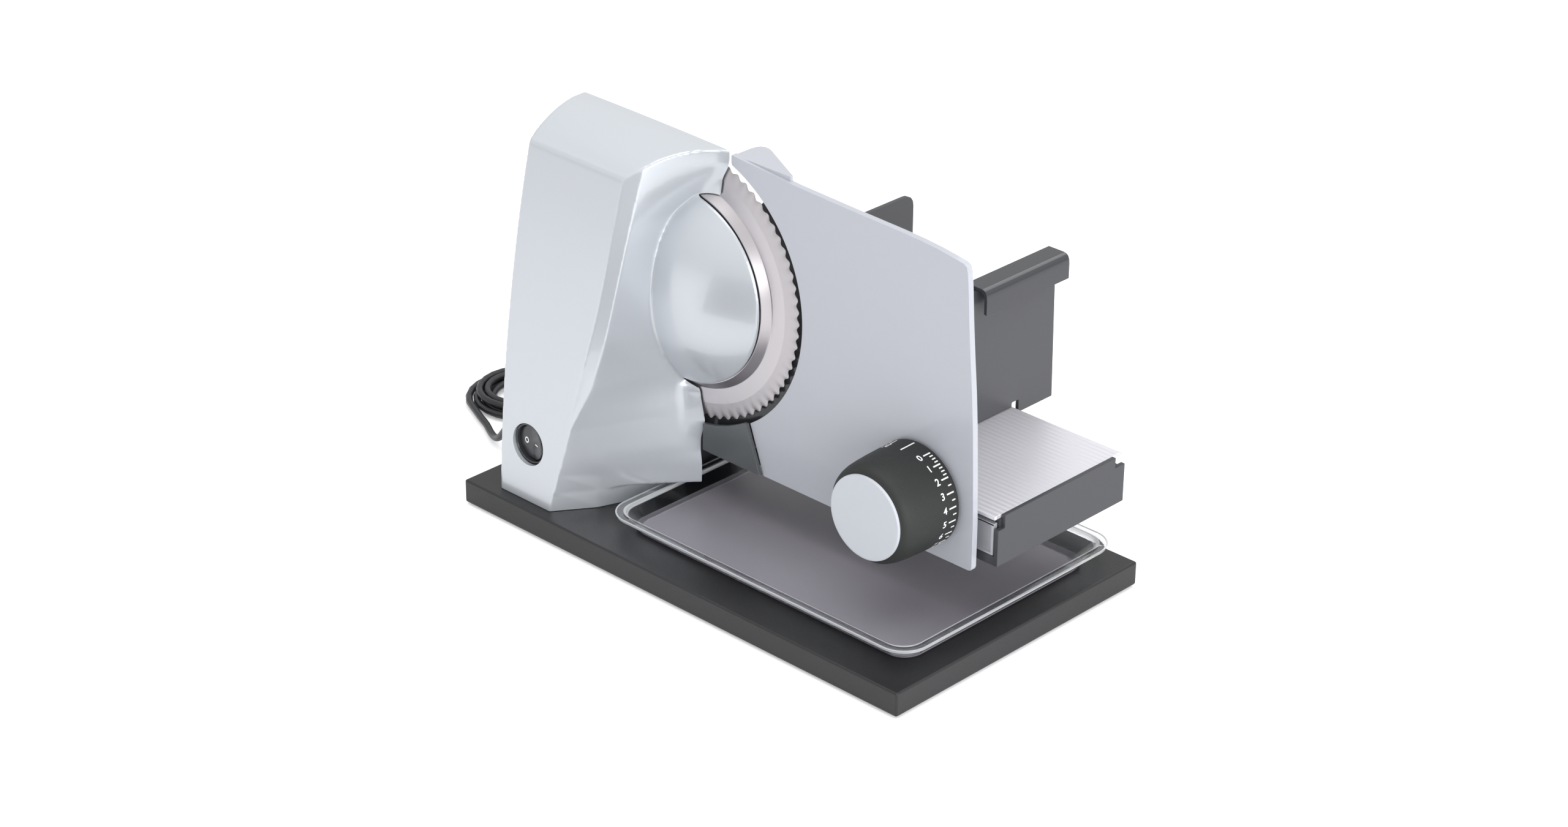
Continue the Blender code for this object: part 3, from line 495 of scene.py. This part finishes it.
def side_line(z, depth, front):
    """Plan of the housing at a height, with its oblique side moved in by depth. The side sags a little."""
    x0, y0 = read(CORNER, z, 1), read(CORNER, z, 2)
    x1, y1 = read(EDGE, z, 1), BACK
    run = hypot(x1 - x0, y1 - y0)
    nx, ny = -(y1 - y0) / run, (x1 - x0) / run
    skirt = clamp((SKIRT_TOP - z) / SKIRT_HIGH)
    skirt = (3 - 2 * skirt) * skirt ** 2
    rim = linear_read(FLARE, z)
    facet = linear_read(FACET, z)
    ahead_x, ahead_y = cos(FACET_WAY), sin(FACET_WAY)
    line = [(x0 - 14 * ahead_x + nx * depth, y0 - 14 * ahead_y + ny * depth),
            (x0 + nx * depth, y0 + ny * depth)]
    x0, y0 = x0 + facet * ahead_x, y0 + facet * ahead_y
    for share in SIDE_SHARES:
        sag = (SAG + SKIRT_SAG * skirt) * sin(pi * clamp(share))
        move = depth + (sag if 0 < share < 1 else 0)
        flare = rim * clamp((share - FLARE_FROM) / FLARE_RUN) ** 2
        line.append((x0 + share * (x1 - x0) + nx * move + flare, y0 + share * (y1 - y0) + ny * move))
    return [(LEFT + depth, line[-1][1]), (LEFT + depth, front)] + line


def housing_solid(name, depth, fine):
    """The housing's form as a solid, drawn in by depth: fine for the shell, and coarse for its core."""
    top = []
    for i, (y, z) in enumerate(FRONT_LINE):
        before = FRONT_LINE[max(i - 1, 0)]
        after = FRONT_LINE[min(i + 1, len(FRONT_LINE) - 1)]
        dy, dz = after[0] - before[0], after[1] - before[1]
        size = hypot(dy, dz)
        top.append(Vector((y + depth * dz / size, z - depth * dy / size, 0)))
    top = through(top, 5 if fine else 1)
    outline = [(point.x, point.y) for point in top] + [(top[-1].x, 5)]
    form = sheet(name, outline, "X", LEFT + depth, 20)
    levels = 75 if fine else 12
    heights = [FOOT_TOP + depth + (225 - depth) * i / levels for i in range(levels + 1)]
    side_form = stack(name + "_side", [(z, side_line(z, depth, -20)) for z in heights])
    foot = []
    for z, ahead, near, middle in FOOT_ROWS:
        foot.append((z, [(LEFT + depth, 100), (LEFT + depth, -20), (ahead - depth, -20), (near - depth, 8.4),
                         (near + 2 - depth, 11.4), (middle - depth, 32), (-78.2 - depth, 70.5),
                         (-77.5 - depth, 100)]))
    join_form(side_form, stack(name + "_foot", foot), "UNION")
    join_form(form, side_form, "INTERSECT")
    radius = (DOME_RIM ** 2 + DOME_DEEP ** 2) / (2 * DOME_DEEP)
    centre = DOME_EDGE - DOME_DEEP + radius
    start = asin(DOME_RIM / radius)
    count = 24 if fine else 7
    bowl = [((radius - depth) * sin(start * i / count), centre - (radius - depth) * cos(start * i / count))
            for i in range(count + 1)]
    bowl[0] = (0, bowl[0][1])
    bowl += [(bowl[-1][0], 86.5), (0, 86.5)]
    dome = spin_up(name + "_dome", bowl, BLADE, 128 if fine else 48)
    join_form(form, dome, "UNION")
    return form


housing = housing_solid("motor_housing_shell", 0, True)
step = housing.modifiers.new("even_skin", "REMESH")
step.mode = "VOXEL"
step.voxel_size = SKIN_STEP
step = housing.modifiers.new("soft_edges", "SMOOTH")
step.factor = 0.5
step.iterations = 2
bake(housing)

# The dome's foot runs into the housing in a soft fillet, strongest 52 to 65 mm from the blade's axis and on
# the left. The top falls by up to 1.8 mm towards the blade.
fillet = housing.vertex_groups.new(name="dome_fillet")
axis = at(BLADE[0], 0, BLADE[1])
for vertex in housing.data.vertices:
    across_x, up_z = vertex.co.x - axis.x, vertex.co.z - axis.z
    reach = hypot(across_x, up_z) * 1000
    from_left = abs(degrees(atan2(up_z, -across_x)))
    weight = clamp((reach - 47) / 5) * clamp((73 - reach) / 8) * clamp((84 - from_left) / 20)
    if weight > 0 and vertex.co.y < at(0, 79, 0).y:
        fillet.add([vertex.index], weight, "REPLACE")
for vertex in housing.data.vertices:
    over = clamp((vertex.co.z - 0.2) / 0.04) * max((vertex.co.x + 0.152) / 0.12, 0) ** 2
    vertex.co.z -= 0.0018 * over
step = housing.modifiers.new("soft_fillet", "SMOOTH")
step.vertex_group = "dome_fillet"
step.factor = 0.5
step.iterations = 60
bake(housing)
join_form(housing, block("back_cut", (-200, 50), (BACK, 120), (-20, 300)), "DIFFERENCE")
join_form(housing, block("bottom_cut", (-200, 50), (-20, 120), (-20, 15.3)), "DIFFERENCE")
join_form(housing, housing_solid("housing_core", SHELL, False), "DIFFERENCE")
room = spin_up("bead_room", [(0, 77), (61, 77), (66.3, 81.2), (66.3, 95), (0, 95)], BLADE, 128)
join_form(housing, room, "DIFFERENCE")
hole = spin_up("switch_hole", [(0, -5), (13, -5), (13, 30), (0, 30)], SWITCH, 96)
join_form(housing, hole, "DIFFERENCE")

# Enamel on die-cast aluminium: silver flakes in a clear coat, with a very slight orange peel
silver_enamel, tree, shader = start_material("silver_enamel", "#c8cdd3", 0.3, 0.34, Coat_Weight=0.9,
                                             Coat_Roughness=0.04)
grain(tree, shader, 260, 0.02, 0.3, 0.3)
dress(housing, silver_enamel, "stand", "paint", "motor_housing", sharp=40, even=False)


# Drive, inside the housing: a motor with a steel pinion turns an idler gear, and that the gear on the blade.
# They sit on a plate and a bracket of rolled aluminium sheet, cut and left bare, as the gauge's bars are.
bare_aluminium, tree, shader = start_material("rolled_aluminium", "#c9cacd", 0.35, 1.0)
grain(tree, shader, 300, 0.08, 0.28, 0.42, squash=(1, 12, 12))
recoat(bare_aluminium, "gear_plate", "motor_bracket", "gauge_bar_1", "gauge_bar_2")

# Nylon: the two large gears, moulded and left in its own off-white, and barely glossy
nylon, tree, shader = start_material("moulded_nylon", "#dcd9cc", 0.5)
grain(tree, shader, 500, 0.1, 0.42, 0.55)
recoat(nylon, "blade_gear", "idler_gear")

# Turned steel: the pin, the pinion and the lock screw, bright with fine tool marks
turned_steel, tree, shader = start_material("turned_steel", "#c4c4c8", 0.25, 1.0)
grain(tree, shader, 600, 0.06, 0.2, 0.32)
recoat(turned_steel, "idler_pin", "motor_pinion", "blade_lock_screw")
recoat(powder_black, "motor_body")


# Blade: a 170 mm disc of stainless steel with 72 scalloped teeth, hollow ground to its edge. Its middle is
# pressed forward behind a polished cone, and the screw in its hub holds it.
TEETH, STEPS_A_TOOTH = 72, 12
TOOTH_DEEP, TOOTH_LIFT = 2.0, 0.25
FRONTS = [(3.4, 81.9), (20, 81.9), (57.3, 81.9), (59.4, 78.0), (59.9, 77.8), (60.7, 77.8), (61.1, 78.1),
          (64.9, 82.1), (65.5, 82.4), (74.6, 82.5), (75.2, 82.6), (78, 82.9), (81, 83.2), (83.4, 83.5),
          (85, 83.8)]
BACKS = [(85, 84.1), (83.4, 84.5), (67, 84.5), (64.5, 84.5), (59, 84.5), (3.4, 84.5)]
bm = bmesh.new()
loops = []
count = TEETH * STEPS_A_TOOTH
for radius, y in FRONTS + BACKS:
    loop = []
    for i in range(count):
        angle = 2 * pi * i / count
        phase = (i % STEPS_A_TOOTH) / STEPS_A_TOOTH
        dip = sin(pi * phase) ** 2
        lift = TOOTH_LIFT * dip * clamp((radius - 79.0) / 4) if y < 84.0 else 0
        r = radius - TOOTH_DEEP * dip * clamp((radius - 80.0) / 5) ** 1.5
        loop.append(bm.verts.new(at(BLADE[0] + r * cos(angle), y + lift, BLADE[1] + r * sin(angle))))
    loops.append(loop)
bridge(bm, loops + loops[:1])
blade = as_object("serrated_blade", bm)

# Ground stainless steel: fine rings from the grinding all over, brighter on the polished cone
blade_steel, tree, shader = start_material("ground_stainless_steel", "#cfcbce", 0.3, 1.0)
place = add(tree, "ShaderNodeTexCoord")
centred = add(tree, "ShaderNodeVectorMath", {"operation": "SUBTRACT", 1: at(BLADE[0], 0, BLADE[1])},
              {0: place.outputs["Object"]})
flat = add(tree, "ShaderNodeVectorMath", {"operation": "MULTIPLY", 1: (1, 0, 1)}, {0: centred.outputs[0]})
reach = add(tree, "ShaderNodeVectorMath", {"operation": "LENGTH"}, {0: flat.outputs[0]})
rings = add(tree, "ShaderNodeTexNoise", {"noise_dimensions": "1D", "Scale": 2600.0, "Detail": 3.0},
            {"W": reach.outputs["Value"]})
outwards = add(tree, "ShaderNodeMapRange", {"From Min": 0.055, "From Max": 0.087},
               {"Value": reach.outputs["Value"]})
zone = add(tree, "ShaderNodeValToRGB", links={"Fac": outwards.outputs[0]})
zone.color_ramp.interpolation = "CONSTANT"
stops = zone.color_ramp.elements
stops[1].position = 0.094
for spot in (0.325, 0.625):
    stops.new(spot)
for stop, value in zip(stops, (0.30, 0.27, 0.32, 0.42)):
    stop.color = (value, value, value, 1)
vary = add(tree, "ShaderNodeMath", {"operation": "MULTIPLY_ADD", 1: 0.10},
           {0: rings.outputs["Fac"], 2: zone.outputs["Color"]})
bump = add(tree, "ShaderNodeBump", {"Strength": 0.12, "Distance": 0.0001}, {"Height": rings.outputs["Fac"]})
tree.links.new(vary.outputs[0], shader.inputs["Roughness"])
tree.links.new(bump.outputs[0], shader.inputs["Normal"])
dress(blade, blade_steel, "blade", "steel", "blade", sharp=20)


# Lower blade guard and guard ring: glossy ABS mouldings that fill the gap round the blade's edge. The guard
# stands on the support arm, in smoky grey, and the black ring lies behind the gauge plate.
def arc(radius, start, end, count, centre=BLADE):
    """Points on an arc between two angles in degrees."""
    turned = [radians(start + (end - start) * i / (count - 1)) for i in range(count)]
    return [(centre[0] + radius * cos(a), centre[1] + radius * sin(a)) for a in turned]


black_abs, tree, shader = start_material("glossy_black_abs", "#38393c", 0.18)
grain(tree, shader, 800, 0.03, 0.15, 0.24)
guard_grey, tree, shader = start_material("smoky_grey_abs", "#55585b", 0.2)
grain(tree, shader, 800, 0.03, 0.17, 0.25)
face = [(-52.2, 51), (-5.6, 51), (-16.8, 80.7)] + arc(87.3, -58.5, -82, 24)
face[-1] = (-52.2, face[-1][1])
guard = sheet("lower_blade_guard", face, "Y", 79.0, 81.6, edge=0.35)
stem_line = [(-50, 51.5), (-22, 51.5)] + arc(92.3, -62, -80.5, 12)
join_form(guard, sheet("guard_stem", stem_line, "Y", 81.0, 89.3), "UNION")
join_form(guard, block("guard_leg", (-49, -23), (81, 95.7), (49.5, 53.4)), "UNION")
dress(guard, guard_grey, "stand", "black_plastic", "blade_guard")
ring_line = arc(92, -88, 50.5, 120) + arc(78.5, 50.5, -88, 120)
ring = sheet("guard_ring_moulding", ring_line, "Y", 86.4, 89.0, edge=0.3)
dress(ring, black_abs, "stand", "black_plastic", "guard_ring")
recoat(black_abs, "support_arm", "slide_guide", "cord_tie", "plug_body")


# Gauge plate: die-cast aluminium with silver enamel, 4 mm thick, with a soft round edge. A fin at its upper
# left corner guides the hand away from the blade.
plate_line = [(-32, 243.5), (-32, 238.5)] + arc(89, 68, -56.8, 140)
plate_line += [(-5, 50), (152.6, 49.8), (154.2, 50.4), (154.8, 52), (154.8, 80), (153.7, 108),
               (152.4, 136), (150.8, 158), (148.8, 179), (147, 200), (145.5, 222), (144.8, 228),
               (143.9, 231.2), (141.6, 232.6), (133, 233.9), (123.4, 235.2), (112, 236.2), (98, 236.9),
               (61, 238), (18, 239.6)]
plate = sheet("gauge_plate_casting", plate_line, "Y", 82, 86)
fin_line = [(-32, 84), (12, 84), (12, 86), (-21.2, 103.5), (-24.4, 104.8), (-27.5, 105), (-30, 103.8),
            (-31.4, 101.6), (-32, 98)]
join_form(plate, sheet("gauge_fin", fin_line, "Z", 240.0, 242.9), "UNION")
DIAL = (115.4, 86)
hole = spin_up("dial_hole", [(0, 70), (8.4, 70), (8.4, 100), (0, 100)], DIAL, 64)
join_form(plate, hole, "DIFFERENCE")
round_edges(plate, 0.7, 3, 50)
bake(plate)

# Enamel on the plate: a shade darker and duller than the housing's, with a finer grain
plate_enamel, tree, shader = start_material("plate_silver_enamel", "#b6b9c1", 0.42, 0.0, Coat_Weight=0.4,
                                            Coat_Roughness=0.1)
grain(tree, shader, 420, 0.03, 0.38, 0.46)
dress(plate, plate_enamel, "gauge", "plate_paint", "gauge_plate", sharp=40)


# Dial: a hollow ABS knob on a stub through the gauge plate, with a soft-touch coat that spreads all gloss.
# A satin grey cap closes its front, and its scale is printed round its rear rim.
knob_line = [(0, 88.5), (8, 88.5), (8, 48), (28.5, 48), (29.0, 79.4), (29.2, 79.7), (30.9, 79.7),
             (31.2, 79.3), (31.05, 71), (30.8, 60), (30.4, 52), (29.9, 46.5), (29.2, 43.2), (28.4, 41.2),
             (27.4, 39.9), (26.2, 39.0), (25.6, 38.7), (25.4, 38.4), (0, 38.4)]
knob = spin_up("dial_knob_moulding", knob_line, DIAL, 160)
soft_black, tree, shader = start_material("soft_touch_coat", "#1f2120", 0.6)
grain(tree, shader, 1600, 0.12, 0.55, 0.68)
dress(knob, soft_black, "dial", "black_plastic", "dial_knob", sharp=40)
cap_line = [(0, 38.2), (25.2, 38.2), (25.3, 37.3), (25.1, 36.6), (24.7, 36.35), (24.0, 36.3), (0, 36.3)]
cap = spin_up("dial_cap_disc", cap_line, DIAL, 160)
cap_grey, tree, shader = start_material("satin_grey_cap", "#bfc3ca", 0.35)
grain(tree, shader, 900, 0.04, 0.3, 0.4)
dress(cap, cap_grey, "dial", "cap_grey", "dial_cap")

# Scale: white pad print, numbers on end beside the ticks, and a long line where the scale starts.
# A mark reaches from its start to the rim at 77.2, and its width is given in degrees on each side.
print_white, tree, shader = start_material("white_pad_print", "#f4f5f6", 0.5)
grain(tree, shader, 2000, 0.05, 0.45, 0.55)
MARK_END, PRINT_THICK = 77.2, 0.12
FIRST_MARK, MARK_STEP, LAST_NUMBER = 69.8, 15.7, 20
NUMBER_Y, NUMBER_HIGH, NUMBER_LIFT = 68.6, 5.8, 0.1


def knob_radius(y):
    """The knob's radius where the scale is."""
    return 30.8 + (y - 60) / 11 * 0.25


def on_knob(y, angle, rise):
    """A place above the knob's side, at an angle in radians."""
    radius = knob_radius(y) + rise
    return at(DIAL[0] + radius * cos(angle), y, DIAL[1] + radius * sin(angle))


def print_mark(name, start, angle, half):
    """A mark wrapped on the knob from start to the rim, as a raised patch of print, at degrees."""
    low, high = angle - half, angle + half
    corners = [(start, low), (MARK_END, low), (MARK_END, high), (start, high)]
    bm = bmesh.new()
    loops = [[bm.verts.new(on_knob(y, radians(turned), rise)) for y, turned in corners]
             for rise in (0.0, PRINT_THICK)]
    bm.faces.new(loops[1])
    bridge(bm, loops)
    return as_object(name, bm)


marks = [print_mark("index_line", 66.1, 91.7, 0.8)]
for number in range(LAST_NUMBER + 1):
    angle = FIRST_MARK - MARK_STEP * number
    marks.append(print_mark("tick", 71.8, angle, 0.75))
    quarters = (1, 2, 3) if number < 2 else (2,)
    if number == LAST_NUMBER:
        quarters = ()
    for quarter in quarters:
        marks.append(print_mark("tick", 74.7, angle - MARK_STEP / 4 * quarter, 0.65))
    letters = bpy.data.curves.new("number_%d" % number, "FONT")
    letters.body = str(number)
    letters.size = NUMBER_HIGH
    letters.align_x = "CENTER"
    letters.align_y = "CENTER"
    letters.offset = 0.1
    letters.resolution_u = 4
    shape = bpy.data.objects.new("number_%d" % number, letters)
    scene.collection.objects.link(shape)
    pick(shape)
    bpy.ops.object.convert(target="MESH")
    for vertex in shape.data.vertices:
        y = NUMBER_Y + vertex.co.x
        turned = radians(angle - 0.6) + vertex.co.y / knob_radius(y)
        vertex.co = on_knob(y, turned, NUMBER_LIFT)
    marks.append(shape)
pick(*marks)
bpy.ops.object.join()
scale = bpy.context.active_object
scale.name = "dial_scale_print"
dress(scale, print_white, "dial", "cap_grey")


# Switch: a round rocker of glossy black ABS in a moulded cup, which is pressed into the housing's front. Its
# face is a shallow V, and it rests with its O side pressed in.
cup_line = [(0, 29), (12.6, 29), (12.6, 12.2), (12.3, 11.8), (11.7, 11.8), (11.4, 12.2), (11.4, 26), (0, 26)]
cup = spin_up("switch_cup", cup_line, SWITCH, 96)
dress(cup, black_abs, "stand", "black_plastic", "switch_body")
TILT = radians(-8)
ROCKER_Y, ROCKER_OUT, ROCKER_SLOPE = 15.5, 1.3, 0.14
ROCKER_RINGS = [(0.5, 0), (3, 0), (6, 0), (8.5, 0), (9.9, -0.05), (10.6, -0.25), (11.0, -0.7), (11.1, -1.4),
                (11.1, -4.6), (0.5, -4.6)]
SIGN_APART, SIGN_THICK = 4.9, 0.12


def rocker_place(u, v, rise):
    """A place above the rocker's front, from its middle: u to the right, v up."""
    out = ROCKER_OUT + ROCKER_SLOPE * hypot(u, 1.5) + rise
    return at(SWITCH[0] + u * cos(TILT) + out * sin(TILT),
              ROCKER_Y + u * sin(TILT) - out * cos(TILT),
              SWITCH[1] + v)


def rocker_ring(bm, radius, rise, count, middle=0, wide=1.0):
    """A ring of corners above the rocker's front, about a middle. Its width is a share of its height."""
    angles = [2 * pi * i / count for i in range(count)]
    return [bm.verts.new(rocker_place(middle + radius * wide * cos(angle), radius * sin(angle), rise))
            for angle in angles]


bm = bmesh.new()
loops = [rocker_ring(bm, radius, rise, 72) for radius, rise in ROCKER_RINGS]
bridge(bm, loops)
bm.faces.new(loops[0])
bm.faces.new(loops[-1])
rocker = as_object("switch_rocker_moulding", bm)
dress(rocker, black_abs, "rocker", "black_plastic", "switch_rocker")

# O and I in the same white print: a tall ring on the left, and a dash on the right
bm = bmesh.new()
bridge(bm, [rocker_ring(bm, radius, SIGN_THICK, 32, -SIGN_APART, 0.8) for radius in (2.0, 1.2)])
dash = ((-1.6, -0.4), (1.6, -0.4), (1.6, 0.4), (-1.6, 0.4))
bm.faces.new([bm.verts.new(rocker_place(SIGN_APART + u, v, SIGN_THICK)) for u, v in dash])
switch_print = as_object("switch_print", bm, outward=False)
dress(switch_print, print_white, "rocker", "cap_grey")


# Food carriage: a table of extruded aluminium with fine ribs, on a moulded frame with an end plate. It
# slides along the blade on a guide, and an aluminium rail runs under its front edge.
table = block("carriage_table_sheet", (-38, 163.3), (90.3, 199.8), (81.8, 84), edge=0.4, segments=2)
join_form(table, block("table_corner", (160, 165), (191.8, 199.8), (81.9, 83.9)), "UNION")

# Anodised aluminium: silvery and satin, with ribs 3.8 mm apart along the stroke
RIB_STEP = 0.0038
ribbed, tree, shader = start_material("brushed_anodised_aluminium", "#e9e8ee", 0.36, 0.5)
place = add(tree, "ShaderNodeTexCoord")
split = add(tree, "ShaderNodeSeparateXYZ", links={0: place.outputs["Object"]})
phase = add(tree, "ShaderNodeMath", {"operation": "MULTIPLY", 1: 2 * pi / RIB_STEP}, {0: split.outputs["Y"]})
wave = add(tree, "ShaderNodeMath", {"operation": "SINE"}, {0: phase.outputs[0]})
rise = add(tree, "ShaderNodeBump", {"Strength": 0.9, "Distance": 0.0001}, {"Height": wave.outputs[0]})
tree.links.new(rise.outputs[0], shader.inputs["Normal"])
dress(table, ribbed, "carriage", "aluminium", "carriage_table")

# Rail: an extruded profile of the same metal, a little darker, with fine draw marks
rail = block("carriage_rail_profile", (-36, 162.3), (92.2, 93.5), (59.9, 79.3))
for name, x, z in (("rail_top", (-36, 162.6), (78.2, 79.4)), ("rail_end", (160.9, 162.6), (59.8, 79.0)),
                   ("rail_foot", (-36, 162.4), (59.7, 60.8))):
    join_form(rail, block(name, x, (90.6, 93.4), z), "UNION")
round_edges(rail, 0.15, 2, 50)
bake(rail)
rail_metal, tree, shader = start_material("anodised_rail_aluminium", "#cccdd2", 0.42, 0.6)
grain(tree, shader, 900, 0.05, 0.38, 0.46)
dress(rail, rail_metal, "carriage", "aluminium", "carriage_rail")

# Frame: dark grey ABS with the fine texture of its mould, which makes it satin
grey_end, tree, shader = start_material("satin_grey_abs", "#3d3e42", 0.32)
grain(tree, shader, 700, 0.04, 0.28, 0.36)
end_line = [(90, 54), (200, 54), (200, 78), (191.5, 78), (191.5, 84.5), (95.6, 84.5), (95.6, 76.7),
            (90, 76.7)]
end_plate = sheet("carriage_end_plate", end_line, "X", 163.7, 166.5, edge=0.3)
for name, x, y, z in (("front_lip", (-36, 165), (90.1, 93), (54.1, 59.5)),
                      ("back_web", (-36, 165), (196, 198.5), (54.2, 76.6)),
                      ("back_seat", (-36, 164.5), (187, 197.5), (74.5, 76.5)),
                      ("back_pad", (-36, 164), (188, 190), (75.5, 81.5)),
                      ("front_seat", (-36, 164), (94, 97), (74.0, 81.6))):
    join_form(end_plate, block(name, x, y, z), "UNION")
dress(end_plate, grey_end, "carriage", "black_plastic", "carriage_frame")


# Carriage wall and pusher: dark grey ABS plates, satin on the wall, and glossy on the pusher from a polished
# mould. The wall is screwed to the table, and the pusher's rounded grip hooks over it and slides on it.
grey_satin, tree, shader = start_material("satin_dark_abs", "#444549", 0.34)
grain(tree, shader, 700, 0.04, 0.3, 0.38)
grey_gloss, tree, shader = start_material("glossy_dark_abs", "#3d3e42", 0.1)
grain(tree, shader, 700, 0.01, 0.08, 0.13)
wall_line = [(94, 84.3), (198.8, 84.3), (198.8, 87.0), (204.6, 87.0), (204.6, 78.7), (235.2, 78.7),
             (233.4, 150), (232.8, 164), (229, 170.6), (99, 170.6), (94, 164)]
wall = sheet("carriage_side_wall", wall_line, "X", 80.2, 82.7, edge=0.5)
dress(wall, grey_satin, "carriage", "black_plastic", "carriage_wall")
hook_line = [(74, 85), (76.5, 85), (76.5, 171), (85.6, 171), (87.6, 170.3), (88.6, 168.6), (88.8, 166),
             (88.8, 158), (90.8, 157.5), (90.8, 167), (90.5, 169.6), (89.6, 171.6), (88, 172.7), (86, 173),
             (75, 173), (74, 172)]
pusher = sheet("food_pusher", hook_line, "Y", 163, 235.5)
wing_line = [(160, 85), (235.5, 85), (235.5, 166), (234.8, 169.4), (232.9, 171.9), (230, 173.3),
             (227, 173.5), (164, 173.5), (160, 170)]
join_form(pusher, sheet("pusher_wing", wing_line, "X", -32.7, -30.2), "UNION")
join_form(pusher, block("pusher_press_plate", (-31, 75.5), (160.2, 163.2), (85.2, 169)), "UNION")
round_edges(pusher, 0.4, 2, 50)
bake(pusher)
dress(pusher, grey_gloss, "pusher", "black_plastic", "pusher", sharp=40)


# Tray: one clear moulding in SAN that lies loose on the base plate, to catch the slices. Its walls slope,
# its rim is flat and its floor frosted. Each level is (z, x limits, y limits, radius of the corners).
def rounded(x, y, radius):
    """A rounded rectangle between limits."""
    points = []
    for centre, start in (((x[1] - radius, y[0] + radius), -90), ((x[1] - radius, y[1] - radius), 0),
                          ((x[0] + radius, y[1] - radius), 90), ((x[0] + radius, y[0] + radius), 180)):
        points += arc(radius, start, start + 90, 12, centre)
    return points


RIM_X, RIM_Y, RIM_ROUND, RIM_WIDE = (-74, 164), (18.5, 203), 17.3, 5.6
OUTSIDE = [(15.3, (-59, 156), (27.5, 180), 12),
           (15.9, (-60.5, 157), (26.8, 181.5), 13),
           (23.3, (-69.5, 160), (22, 198.5), 15),
           (23.5, (-73.6, 163.6), (18.9, 202.6), 17),
           (24.9, RIM_X, RIM_Y, RIM_ROUND),
           (25.1, (-73.4, 163.4), (19.1, 202.4), 16.9)]
INSIDE = [(16.8, (-57.5, 154.6), (29, 178.2), 11),
          (17.5, (-58.8, 155.6), (28.2, 179.6), 12),
          (23.9, (-67.8, 158.4), (23.8, 196.6), 14),
          (27, (-68.6, 158.8), (23.4, 197.4), 14.2)]
tray = stack("clear_tray", [(z, rounded(x, y, radius)) for z, x, y, radius in OUTSIDE])
hollow = stack("tray_hollow", [(z, rounded(x, y, radius)) for z, x, y, radius in INSIDE])
join_form(tray, hollow, "DIFFERENCE")

# SAN: clear as glass, with a mirror-like skin. The mould's etched floor makes the tray's floor milky.
CLEAR, FROSTED = linear("#f4f6f8"), linear("#aeabb4")
clear_san, tree, shader = start_material("clear_moulded_san", "#f4f6f8", 0.04, IOR=1.45)
place = add(tree, "ShaderNodeTexCoord")
split = add(tree, "ShaderNodeSeparateXYZ", links={0: place.outputs["Object"]})
frost = add(tree, "ShaderNodeMapRange",
            {"From Min": at(0, 0, 17.0).z, "From Max": at(0, 0, 17.3).z, "To Min": 1.0, "To Max": 0.0},
            {"Value": split.outputs["Z"]})
# The rim's height, where the painted highlights lie
rim_highlight_height = add(tree, "ShaderNodeMapRange",
           {"From Min": at(0, 0, 23.2).z, "From Max": at(0, 0, 23.5).z, "To Max": 0.5},
           {"Value": split.outputs["Z"]})

# Painted highlights: the rim's two edges are made less clear, as thin milky lines at its outer and its inner
# side, which stand in for the light that they catch.
# Both lie at the same distance, in metres, from a line along the middle of the rim.
rim_centre = at((RIM_X[0] + RIM_X[1]) / 2, (RIM_Y[0] + RIM_Y[1]) / 2, 0)
straight = ((RIM_X[1] - RIM_X[0]) / 2000 - RIM_ROUND / 1000,
            (RIM_Y[1] - RIM_Y[0]) / 2000 - RIM_ROUND / 1000, 1)
centred = add(tree, "ShaderNodeVectorMath", {"operation": "SUBTRACT", 1: rim_centre},
              {0: place.outputs["Object"]})
folded = add(tree, "ShaderNodeVectorMath", {"operation": "ABSOLUTE"}, {0: centred.outputs[0]})
past = add(tree, "ShaderNodeVectorMath", {"operation": "SUBTRACT", 1: straight}, {0: folded.outputs[0]})
corner = add(tree, "ShaderNodeVectorMath", {"operation": "MAXIMUM", 1: (0, 0, 0)}, {0: past.outputs[0]})
reach = add(tree, "ShaderNodeVectorMath", {"operation": "LENGTH"}, {0: corner.outputs[0]})
from_middle = add(tree, "ShaderNodeMath", {"operation": "SUBTRACT", 1: (RIM_ROUND - RIM_WIDE / 2) / 1000},
                  {0: reach.outputs["Value"]})
aside = add(tree, "ShaderNodeMath", {"operation": "ABSOLUTE"}, {0: from_middle.outputs[0]})
# Painted highlight: a band along each edge of the rim
edges = add(tree, "ShaderNodeMapRange",
            {"From Min": (RIM_WIDE / 2 - 1.1) / 1000, "From Max": (RIM_WIDE / 2 - 0.7) / 1000},
            {"Value": aside.outputs[0]})
lines = add(tree, "ShaderNodeMath", {"operation": "MULTIPLY"},
            {0: edges.outputs["Result"], 1: rim_highlight_height.outputs["Result"]})
speck = add(tree, "ShaderNodeTexNoise", {"Scale": 1800.0, "Detail": 2.0},
            {"Vector": place.outputs["Object"]})
rough = add(tree, "ShaderNodeMapRange", {"To Min": 0.04, "To Max": 0.4}, {"Value": frost.outputs["Result"]})
clear = add(tree, "ShaderNodeMapRange", {"To Min": 1.0, "To Max": 0.4}, {"Value": frost.outputs["Result"]})
tint = add(tree, "ShaderNodeMix", {"data_type": "RGBA", 6: CLEAR, 7: FROSTED}, {0: frost.outputs["Result"]})
deep = add(tree, "ShaderNodeMath", {"operation": "MULTIPLY", 1: 0.3}, {0: frost.outputs["Result"]})
rise = add(tree, "ShaderNodeBump", {"Distance": 0.00005},
           {"Strength": deep.outputs[0], "Height": speck.outputs["Fac"]})
# Clearness of the tray: less on its frosted floor, and less on the rim's edges for the painted highlights
frost_and_rim_highlight_clearness = add(tree, "ShaderNodeMath", {"operation": "SUBTRACT"},
            {0: clear.outputs["Result"], 1: lines.outputs[0]})
tree.links.new(rough.outputs["Result"], shader.inputs["Roughness"])
tree.links.new(frost_and_rim_highlight_clearness.outputs[0], shader.inputs["Transmission Weight"])
tree.links.new(tint.outputs[2], shader.inputs["Base Color"])
tree.links.new(rise.outputs[0], shader.inputs["Normal"])
dress(tray, clear_san, "tray", "clear", "tray")
